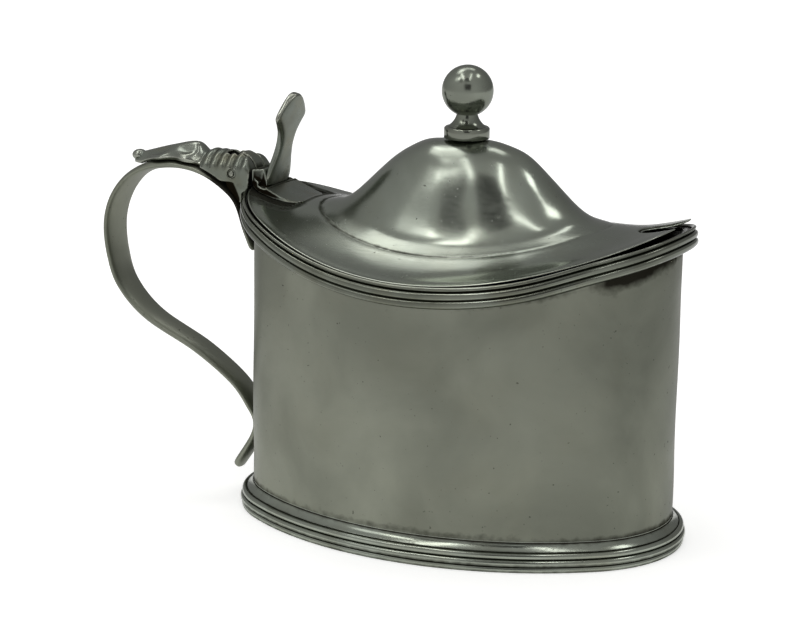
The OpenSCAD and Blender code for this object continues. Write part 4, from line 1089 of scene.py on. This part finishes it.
class POT_OT_lid(bpy.types.Operator):
    """Make the domed lid with its spoon notch"""

    bl_idname = "pot.lid"
    bl_label = "Lid"

    def execute(self, context):
        s = sizes()
        lid = new_object("domed_lid", self.flat_sheet(s))
        lengths = {
            "Edge height": s.lid_h, "Edge rise": s.lid_rise, "Drum half length": s.drum_half_l,
            "Half length": s.drum_half_l + s.lid_out, "Half width": s.drum_half_w + s.lid_out,
            "Sweep": s.skirt_h, "Dome": s.dome_h, "Dome half length": s.dome_half_l,
            "Dome half width": s.dome_half_w, "Roll": FOLD_DEPTH, "Crease": FOLD_DEPTH}
        values = {name: value * MM for name, value in lengths.items()}
        shape_by_nodes(lid, lid_tree(), {**values, "Finish": finish_of("silver_polished")})
        tidy_mesh(lid.data, sharp=80)
        shift_points(lid.data, self.bent_prong)
        dress(lid, "silver_polished", "lid", "lid", passes=1, stain_and_painted_light=self.stain_and_painted_light)
        return {"FINISHED"}

    def flat_sheet(self, s):
        """The lid's sheet before it is raised.

        Its rings run on its face, round its edge and back under it to the peg's hole.
        """
        edge, way = self.outline(s)
        inner = oval(s, s.lid_out) * INNER_OVAL
        run, inner_run = run_round(edge), run_round(inner)
        # Each point of the edge has one on the inner oval, as far round from the notch.
        from_notch = (run[:-1] - run[len(run) // 2]) / run[-1]
        at = np.mod(from_notch * inner_run[-1] + inner_run[END_STEPS // 2], inner_run[-1])
        loop = np.concatenate([inner, inner[:1]])
        inner = np.c_[np.interp(at, inner_run, loop[:, 0]), np.interp(at, inner_run, loop[:, 1])]
        r = s.lid_t / 2
        rim = edge - way * r
        inwards = np.linspace(0, 1, SKIRT_RINGS) ** SKIRT_CROWD
        face = [rim * (1 - u) + inner * u for u in inwards]
        face += [inner * scale for scale in np.linspace(1, DOME_LEAST, DOME_RINGS)[1:]]
        face.append(inner / np.linalg.norm(inner, axis=1)[:, None] * PEG_HOLE)
        thin = [bell(u * EDGE_IN, 1, EDGE_THIN) for u in inwards]
        thin += [0] * (len(face) - len(thin))
        rings = list(zip(face, thin))[::-1]
        for a in np.radians(np.linspace(90, -90, 9))[1:-1]:
            share = EDGE_THIN + (1 - EDGE_THIN) * (1 - math.sin(a)) / 2
            rings.append((edge - way * r * (1 - math.cos(a)), share))
        rings += [(flat, 1) for flat in face]
        points = []
        for flat, share in rings:
            x, y = flat.T
            slope_x = (lid_z(s, x + TINY, y) - lid_z(s, x - TINY, y)) / (2 * TINY)
            slope_y = (lid_z(s, x, y + TINY) - lid_z(s, x, y - TINY)) / (2 * TINY)
            below = share * s.lid_t * np.sqrt(1 + slope_x ** 2 + slope_y ** 2)
            points.append(np.c_[flat, self.dents(s, x, y) - below])
        mesh = bpy.data.meshes.new("domed_lid")
        faces = grid_faces(len(rings), len(edge), wrap_rows=True)
        mesh.from_pydata((np.concatenate(points) * MM).tolist(), [], faces)
        return mesh

    @staticmethod
    def bent_prong(x, y, z):
        """Bends up the prong on the notch's far side, as spoons have."""
        return 0 * x, 0 * y, PRONG_LIFT * ramp(x, start=37, run=5.5) ** 2 * (y > 1)

    @staticmethod
    def dents(s, x, y):
        """Shallow dents in the dome, from use."""
        inside = np.clip(DOME_DENT_GROWTH * (1 - out_on_dome(s, x, y)), 0, 1)
        return DOME_DENT * waves(DOME_WAVES, x, y) * inside

    @staticmethod
    def stain_and_painted_light(x, y, z, up):
        """Dark lines in the dome's crease and in the notch, of tarnish and painted shade, a painted dark
        reflection on the dome, and a darkening of the lid round the hinge's foot.
        """
        s = sizes()
        # The dark line in the crease, heaviest towards the hinge: tarnish and painted shade.
        crease = bell(out_on_dome(s, x, y) - FOLD_CREASE, width=0.016, height=1.1)
        crease *= ramp(x, start=20, run=-25, least=0.25)
        inner_r, inner_x, slope = notch_form(s)
        ahead = x - inner_x
        from_notch = np.hypot(np.minimum(ahead, 0), y) - inner_r - slope * np.maximum(ahead, 0)
        # The notch's edges and the lid round it are blackened: tarnish and painted shade.
        notch = ramp(from_notch, start=1.17, run=-0.9) * np.where(up < 0.8, 4, 1.6) * (x > 0)
        # A painted dark reflection on the dome.
        painted_reflection = bell(np.hypot(x - PAINTED_REFLECTION[0], y - PAINTED_REFLECTION[1]), width=2.6, height=0.4) * (z > s.lid_h)
        past_front, past_side = np.maximum(x + FOOT_FRONT, 0), np.maximum(np.abs(y) - FOOT_HALF_W, 0)
        # The lid is darker round the hinge's foot, on faces that look up.
        darkening_round_foot = np.interp(np.hypot(FOOT_AHEAD * past_front, past_side), *FOOT_DARKENING) * (up > 0)
        return crease + notch + painted_reflection + darkening_round_foot

    @staticmethod
    def outline(s):
        """The lid's edge in order round the pot, with the spoon notch in its middle, and its outward ways."""
        inner_r, inner_x, slope = notch_form(s)
        wall_steps, round_steps, corner_steps = NOTCH_STEPS
        edge = oval(s, s.lid_out, 4 * END_STEPS)
        half_gap = inner_r + slope * (edge[:, 0] - inner_x) + NOTCH_CORNER
        outside = ~((edge[:, 0] > 0) & (np.abs(edge[:, 1]) < half_gap))
        first = np.argmax(edge[:, 0] * (edge[:, 1] > 0) * outside)
        rest = np.roll(edge, -first, axis=0)[np.roll(outside, -first)]
        meets_x = rest[0, 0]
        walls = np.linspace(meets_x - NOTCH_CORNER, inner_x, wall_steps)
        wall = np.c_[walls, inner_r + slope * (walls - inner_x)]
        turn = np.radians(np.linspace(90, 270, round_steps)[1:-1])
        arc = np.c_[inner_x + inner_r * np.cos(turn), inner_r * np.sin(turn)]
        bend = np.linspace(0, 1, corner_steps)[1:-1, None]
        corner = np.array([meets_x, inner_r + slope * (meets_x - inner_x)])
        lip = (1 - bend) ** 2 * rest[0] + 2 * bend * (1 - bend) * corner + bend ** 2 * wall[0]
        half = np.concatenate([lip, wall])
        notch = np.concatenate([half, arc, (half * [1, -1])[::-1]])
        # The order starts at the hinge end, so that the notch is in its middle.
        far = len(rest) // 2
        points = np.concatenate([rest[far:], notch[::-1], rest[:far]])
        ahead = np.roll(points, -1, axis=0) - np.roll(points, 1, axis=0)
        way = np.c_[ahead[:, 1], -ahead[:, 0]]
        return points, way / np.linalg.norm(way, axis=1)[:, None]


# The thumbpiece's outline as shares of its width and its height. Its foot ahead of the pin, its height over
# the pin, its lean, and the radius of the hinge's barrel, which is how far its base lies under the pin.
THUMB_OUTLINE = [(0.38, 0), (0.4, 0.09), (0.35, 0.2), (0.275, 0.33), (0.245, 0.45), (0.29, 0.57),
                 (0.41, 0.67), (0.5, 0.745), (0.42, 0.835), (0.27, 0.93), (0.1, 0.99), (0, 1)]
THUMB_FRONT, THUMB_H, THUMB_LEAN, BARREL_R = 7, 15.7, 13, 1.6
# Its section: how square it is across and through, its least half width, and how it thins under a half width.
THUMB_SQUARE, THUMB_LEAST, THUMB_THIN, THUMB_THIN_W = (0.5, 0.75), 0.05, 0.45, 1.6
THUMB_STEPS, THUMB_COLS = 10, 72


class POT_OT_thumbpiece(bpy.types.Operator):
    """Make the thumbpiece"""

    bl_idname = "pot.thumbpiece"
    bl_label = "Thumbpiece"

    def execute(self, context):
        s = sizes()
        turn = np.linspace(0, 2 * math.pi, THUMB_COLS, endpoint=False)
        across, through = (np.sign(v) * np.abs(v) ** square
                           for v, square in zip((np.cos(turn), np.sin(turn)), THUMB_SQUARE))
        rows = []
        for width, height in smooth_line(THUMB_OUTLINE, THUMB_STEPS)[:-1]:
            half = max(width * s.thumb_w, THUMB_LEAST)
            thick = s.thumb_t / 2 * (1 - THUMB_THIN * max(0, 1 - half / THUMB_THIN_W))
            z = np.full_like(turn, height * (THUMB_H + BARREL_R))
            rows.append(np.c_[thick * through, half * across, z])
        lean = Matrix.Rotation(math.radians(THUMB_LEAN), 3, "Y")
        foot = np.array([HINGE_X + THUMB_FRONT, 0, HINGE_Z - BARREL_R])
        points = np.concatenate(rows) @ np.array(lean).T + foot
        plate = mesh_piece("thumb_plate", points, tube_faces(len(rows), THUMB_COLS))
        dress(plate, "silver_cast", "lid", "thumbpiece", stain_and_painted_light=self.stain_and_painted_light)
        return {"FINISHED"}

    @staticmethod
    def stain_and_painted_light(x, y, z, up):
        """Thumbs have rubbed the shoulders bright, with a painted highlight on the upper faces, and brown
        tarnish is left at the foot.
        """
        above = z - HINGE_Z
        # Faces that look up high on the plate are lightened: rubbed silver and a painted highlight.
        rubbed = 2.6 * ramp(up, start=0.25, run=0.2) * (above > 6)
        return 0.5 * ramp(above, start=3, run=-4) - rubbed


# The collar: the rounding of its foot, and its upper edge as steps in from its side and down from its top.
# The neck: its flare as a share of the collar, its thinnest place as a share of the gap under the ball, and
# how far its hollow goes on above that. The peg: its radius, and its head as shares of a radius and heights.
# The film: the height over which it fades, and its least and greatest amount.
COLLAR_ROUND, COLLAR_TOP = 0.1, [(0, 0.35), (0.08, 0.2), (0.26, 0.04), (0.4, 0)]
NECK_FLARE, NECK_MIDDLE, NECK_ABOVE = 0.84, 0.45, 0.3
PEG_R, PEG_HEAD = 0.85, [(0, 0), (0.5, 0.04), (0.85, 0.25), (1, 0.6)]
FINIAL_FILM_H, FINIAL_FILM = 20, (0.1, 0.6)


class POT_OT_finial(bpy.types.Operator):
    """Make the finial: its collar, its ball on a neck, and the rivet that holds it"""

    bl_idname = "pot.finial"
    bl_label = "Finial"

    def execute(self, context):
        s = sizes()
        foot, top = (corner.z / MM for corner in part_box("finial_collar"))
        r = s.collar_r
        profile = [(0, foot), (r - COLLAR_ROUND, foot), (r, foot + COLLAR_ROUND)]
        profile += [(r - inwards, top - down) for inwards, down in COLLAR_TOP] + [(0, top)]
        collar = lathe("collar", profile, steps=96)
        dress(collar, "silver_polished", "lid", "finial_collar", passes=1, film=self.film)
        ball = lathe("ball", self.ball_profile(s, top), steps=96)
        dress(ball, "silver_polished", "lid", "finial_ball", passes=1, film=self.film)
        low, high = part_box("finial_peg")
        head, low_z, high_z = (high.x - low.x) / 2 / MM, low.z / MM, high.z / MM
        profile = [(share * head, low_z + up) for share, up in PEG_HEAD]
        profile += [(PEG_R, profile[-1][1]), (PEG_R, high_z), (0, high_z)]
        rivet = lathe("rivet", profile, steps=48)
        dress(rivet, "silver_cast", "lid", "finial_peg", passes=1)
        return {"FINISHED"}

    @staticmethod
    def ball_profile(s, collar_top):
        """A hollow neck that flares on to the collar, and a ball."""
        ball_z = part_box("finial_ball")[1].z / MM - s.ball_r
        neck_low, rise = collar_top + SEAM, NECK_MIDDLE * (ball_z - collar_top)
        flare = NECK_FLARE * s.collar_r
        hollow = ((flare - s.neck_r) ** 2 + rise ** 2) / (2 * (flare - s.neck_r))
        start = math.asin(rise / hollow)
        turn = np.linspace(-start, NECK_ABOVE * start, 16)
        neck = np.c_[s.neck_r + hollow * (1 - np.cos(turn)), neck_low + rise + hollow * np.sin(turn)]
        arc = np.linspace(math.asin(min(1, neck[-1, 0] / s.ball_r)), math.pi, 48)
        sphere = np.c_[s.ball_r * np.sin(arc), ball_z - s.ball_r * np.cos(arc)]
        return np.concatenate([[(0, neck_low), (flare, neck_low)], neck[1:], sphere])

    @staticmethod
    def film(x, y, z):
        """The film is thickest low down, where cloths don't reach."""
        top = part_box("finial_ball")[1].z / MM
        return np.clip((top - z) / FINIAL_FILM_H, *FINIAL_FILM)


# The camera of the photograph: its place, its direction, and its lens for this sensor. Its range in metres.
CAMERA_PLACE = (177.68, -416.85, 145.34)
CAMERA_TURN, CAMERA_DOWN, CAMERA_ROLL = 24.52, 13.43, 0.89
CAMERA_LENS, CAMERA_SENSOR, CAMERA_RANGE = 116.12, 36, (0.01, 50)
# The rest of the stage is in metres. The floor's half size, and its own glow. The strength of the world for
# other rays, and for those that are seen or reflected. The height that lamps and cards aim at.
FLOOR_HALF, FLOOR_GLOW = 4, 0.47
WORLD_LIGHT, WORLD_SEEN = 0.55, 1.0
LAMP_AIM = 0.05
WHITE = (1, 1, 1, 1)
# The tent: its radius, how bright it is near the camera and far from it, its points, and where it is cut off.
# The boards: their height, inner and outer radius, how bright they are, and their points.
TENT_R, TENT_SHADES, TENT_STEPS, TENT_CUT = 1.6, (0.7, 0.25), (48, 32), -0.001
BOARD_Z, BOARD_R, BOARD_SHADE, BOARD_STEPS = 0.0005, (0.085, 1.6), 0.85, 64
# The cards: how bright they are, and each one's name, its direction round and up from the pot, and its size.
CARD_SHADE = 0.085
CARDS = [
    ("high_card", -73, 57, (0.34, 0.3)),
    ("left_card", -111, 47, (0.12, 0.28)),
    ("camera_card", -67, 24, (0.5, 0.5)),
]
# Each lamp: its name, its direction round and up from the pot and its roll, its size, and its power in watts.
LAMPS = [
    ("front_strip", -124, 67, -27, (0.55, 0.1), 0.77),
    ("camera_strip", -35, 71, 51, (0.6, 0.05), 0.48),
    ("right_window", 30, 56, 0, (0.26, 0.15), 0.45),
    ("soft_window", -141, 47, 20, (0.26, 0.24), 0.2),
    ("small_window", -132, 54, 0, (0.1, 0.18), 0.28),
    ("left_window", 160, 62, 0, (0.34, 0.26), 0.63),
    ("high_window", 130, 60, 0, (0.44, 0.24), 0.45),
    ("back_window", 94, 58, 0, (0.2, 0.14), 0.21),
]


def seen_or_reflected(tree):
    """1 for rays from the camera, and for those that metal and glass send on."""
    rays = add(tree, "ShaderNodeLightPath")
    seen = rays.outputs["Is Camera Ray"]
    for kind in ("Is Glossy Ray", "Is Transmission Ray"):
        seen = add(tree, "ShaderNodeMath", {0: seen, 1: rays.outputs[kind]}, operation="MAXIMUM")
    return seen


def facing(around, up):
    """The place of a lamp or card that faces the pot from a metre away, at these angles round and up."""
    around, up = math.radians(around), math.radians(up)
    way = Vector((math.cos(around) * math.cos(up), math.sin(around) * math.cos(up), math.sin(up)))
    matrix = (-way).to_track_quat("-Z", "Y").to_matrix().to_4x4()
    matrix.translation = way + Vector((0, 0, LAMP_AIM))
    return matrix


def rectangle(name, half_x, half_y):
    """A flat mesh round the origin, in metres."""
    mesh = bpy.data.meshes.new(name)
    corners = [(x * half_x, y * half_y, 0) for x, y in ((-1, -1), (1, -1), (1, 1), (-1, 1))]
    mesh.from_pydata(corners, [], [(0, 1, 2, 3)])
    return mesh


class POT_OT_stage(bpy.types.Operator):
    """Make the floor, the light and the camera"""

    bl_idname = "pot.stage"
    bl_label = "Stage"

    def execute(self, context):
        scene = context.scene
        scene.view_settings.view_transform = "Standard"
        self.floor(scene)
        self.tent()
        self.boards()
        for card in CARDS:
            self.card(*card)
        self.world(scene)
        for lamp in LAMPS:
            self.lamp(*lamp)
        self.camera(scene)
        return {"FINISHED"}

    @staticmethod
    def floor(scene):
        """A pale floor with a glow of its own, which only the camera, metal and glass see."""
        mesh = rectangle("floor", FLOOR_HALF, FLOOR_HALF)
        material, tree = new_material("Pale studio floor")
        shade = add(tree, "ShaderNodeBsdfDiffuse", {"Color": rgba(scene.pot_finish.floor)})
        glow = add(tree, "ShaderNodeEmission", {"Color": WHITE, "Strength": FLOOR_GLOW})
        both = add(tree, "ShaderNodeAddShader", {0: shade, 1: glow})
        shown = add(tree, "ShaderNodeMixShader", {0: seen_or_reflected(tree), 1: shade, 2: both})
        add(tree, "ShaderNodeOutputMaterial", {"Surface": shown})
        mesh.materials.append(material)
        new_object("floor", mesh)

    def tent(self):
        """A grey light tent, paler on the camera's side, which only the metal and the glass mirror."""
        mesh = bpy.data.meshes.new("light_tent")
        with opened(mesh) as work:
            bmesh.ops.create_uvsphere(work, u_segments=TENT_STEPS[0], v_segments=TENT_STEPS[1], radius=TENT_R)
            low = [v for v in work.verts if v.co.z < TENT_CUT]
            bmesh.ops.delete(work, geom=low, context="VERTS")
        material, tree = new_material("Grey tent cloth")
        place = add(tree, "ShaderNodeTexCoord").outputs["Object"]
        depth = add(tree, "ShaderNodeSeparateXYZ", {0: place}).outputs["Y"]
        near, far = TENT_SHADES
        shade = add(tree, "ShaderNodeMapRange", {0: depth, 1: -TENT_R, 2: TENT_R, 3: near, 4: far})
        glow = add(tree, "ShaderNodeEmission", {"Color": WHITE, "Strength": shade})
        add(tree, "ShaderNodeOutputMaterial", {"Surface": glow})
        mesh.materials.append(material)
        self.mirrored_only(new_object("light_tent", mesh))

    def boards(self):
        """Grey boards on the floor, outside the picture."""
        turn = np.linspace(0, 2 * math.pi, BOARD_STEPS, endpoint=False)
        ring = np.c_[np.cos(turn), np.sin(turn)]
        points = np.concatenate([np.c_[r * ring, np.full(BOARD_STEPS, BOARD_Z)] for r in BOARD_R])
        mesh = bpy.data.meshes.new("grey_boards")
        mesh.from_pydata(points.tolist(), [], grid_faces(2, BOARD_STEPS))
        mesh.materials.append(self.plain_glow("Grey board", BOARD_SHADE))
        self.mirrored_only(new_object("grey_boards", mesh))

    def card(self, name, around, up, size):
        """A black card that faces the pot."""
        mesh = rectangle(name, size[0] / 2, size[1] / 2)
        mesh.transform(facing(around, up))
        mesh.materials.append(self.plain_glow("Black card", CARD_SHADE))
        self.mirrored_only(new_object(name, mesh))

    @staticmethod
    def plain_glow(name, strength):
        """A material that is evenly bright, made when it is first asked for."""
        if name in bpy.data.materials:
            return bpy.data.materials[name]
        material, tree = new_material(name)
        glow = add(tree, "ShaderNodeEmission", {"Color": WHITE, "Strength": strength})
        add(tree, "ShaderNodeOutputMaterial", {"Surface": glow})
        return material

    @staticmethod
    def mirrored_only(obj):
        """Keeps a part of the stage out of the picture: only the metal and the glass mirror it."""
        obj.visible_camera = obj.visible_diffuse = obj.visible_shadow = False

    @staticmethod
    def world(scene):
        """A white world, weaker for the rays that light the floor."""
        world = bpy.data.worlds.new("Studio")
        world.use_nodes = True
        tree = world.node_tree
        tree.nodes.clear()
        seen = seen_or_reflected(tree)
        strength = add(tree, "ShaderNodeMapRange", {0: seen, 3: WORLD_LIGHT, 4: WORLD_SEEN})
        light = add(tree, "ShaderNodeBackground", {"Color": WHITE, "Strength": strength})
        add(tree, "ShaderNodeOutputWorld", {"Surface": light})
        scene.world = world

    @staticmethod
    def lamp(name, around, up, roll, size, power):
        """An area lamp that faces the pot, out of the picture."""
        data = bpy.data.lights.new(name, "AREA")
        data.shape = "RECTANGLE"
        data.size, data.size_y = size
        data.energy = power
        lamp = new_object(name, data)
        lamp.visible_camera = False
        lamp.matrix_world = facing(around, up) @ Matrix.Rotation(math.radians(roll), 4, "Z")

    @staticmethod
    def camera(scene):
        """The camera of the photograph."""
        data = bpy.data.cameras.new("photo_camera")
        data.sensor_width, data.lens = CAMERA_SENSOR, CAMERA_LENS
        data.clip_start, data.clip_end = CAMERA_RANGE
        camera = new_object("photo_camera", data)
        turn, down, roll = (math.radians(v) for v in (CAMERA_TURN, CAMERA_DOWN, CAMERA_ROLL))
        ahead = Vector((-math.sin(turn) * math.cos(down), math.cos(turn) * math.cos(down), -math.sin(down)))
        right = Vector((math.cos(turn), math.sin(turn), 0))
        up = right.cross(ahead)
        right, up = math.cos(roll) * right + math.sin(roll) * up, math.cos(roll) * up - math.sin(roll) * right
        matrix = Matrix((right, up, -ahead)).transposed().to_4x4()
        matrix.translation = Vector(CAMERA_PLACE) * MM
        camera.matrix_world = matrix
        scene.camera = camera


OPERATORS = (POT_OT_drum, POT_OT_mouldings, POT_OT_liner, POT_OT_handle, POT_OT_hinge, POT_OT_lid,
             POT_OT_thumbpiece, POT_OT_finial, POT_OT_stage)


class POT_PT_panel(bpy.types.Panel):
    """The pot's sizes, colours and pieces"""

    bl_idname = "POT_PT_panel"
    bl_label = "Mustard pot"
    bl_space_type = "VIEW_3D"
    bl_region_type = "UI"
    bl_category = "Mustard pot"

    def draw(self, context):
        for operator in OPERATORS:
            self.layout.operator(operator.bl_idname)
        for group, values in ((PotSizes, context.scene.pot_sizes), (PotFinish, context.scene.pot_finish)):
            box = self.layout.box()
            for name in group.__annotations__:
                box.prop(values, name)


CLASSES = (PotSizes, PotFinish, *OPERATORS, POT_PT_panel)


def register():
    for item in CLASSES:
        bpy.utils.register_class(item)
    bpy.types.Scene.pot_sizes = bpy.props.PointerProperty(type=PotSizes)
    bpy.types.Scene.pot_finish = bpy.props.PointerProperty(type=PotFinish)


def unregister():
    del bpy.types.Scene.pot_finish
    del bpy.types.Scene.pot_sizes
    for item in reversed(CLASSES):
        bpy.utils.unregister_class(item)


def main():
    register()
    for operator in OPERATORS:
        group, name = operator.bl_idname.split(".")
        getattr(getattr(bpy.ops, group), name)()


if __name__ == "__main__":
    main()
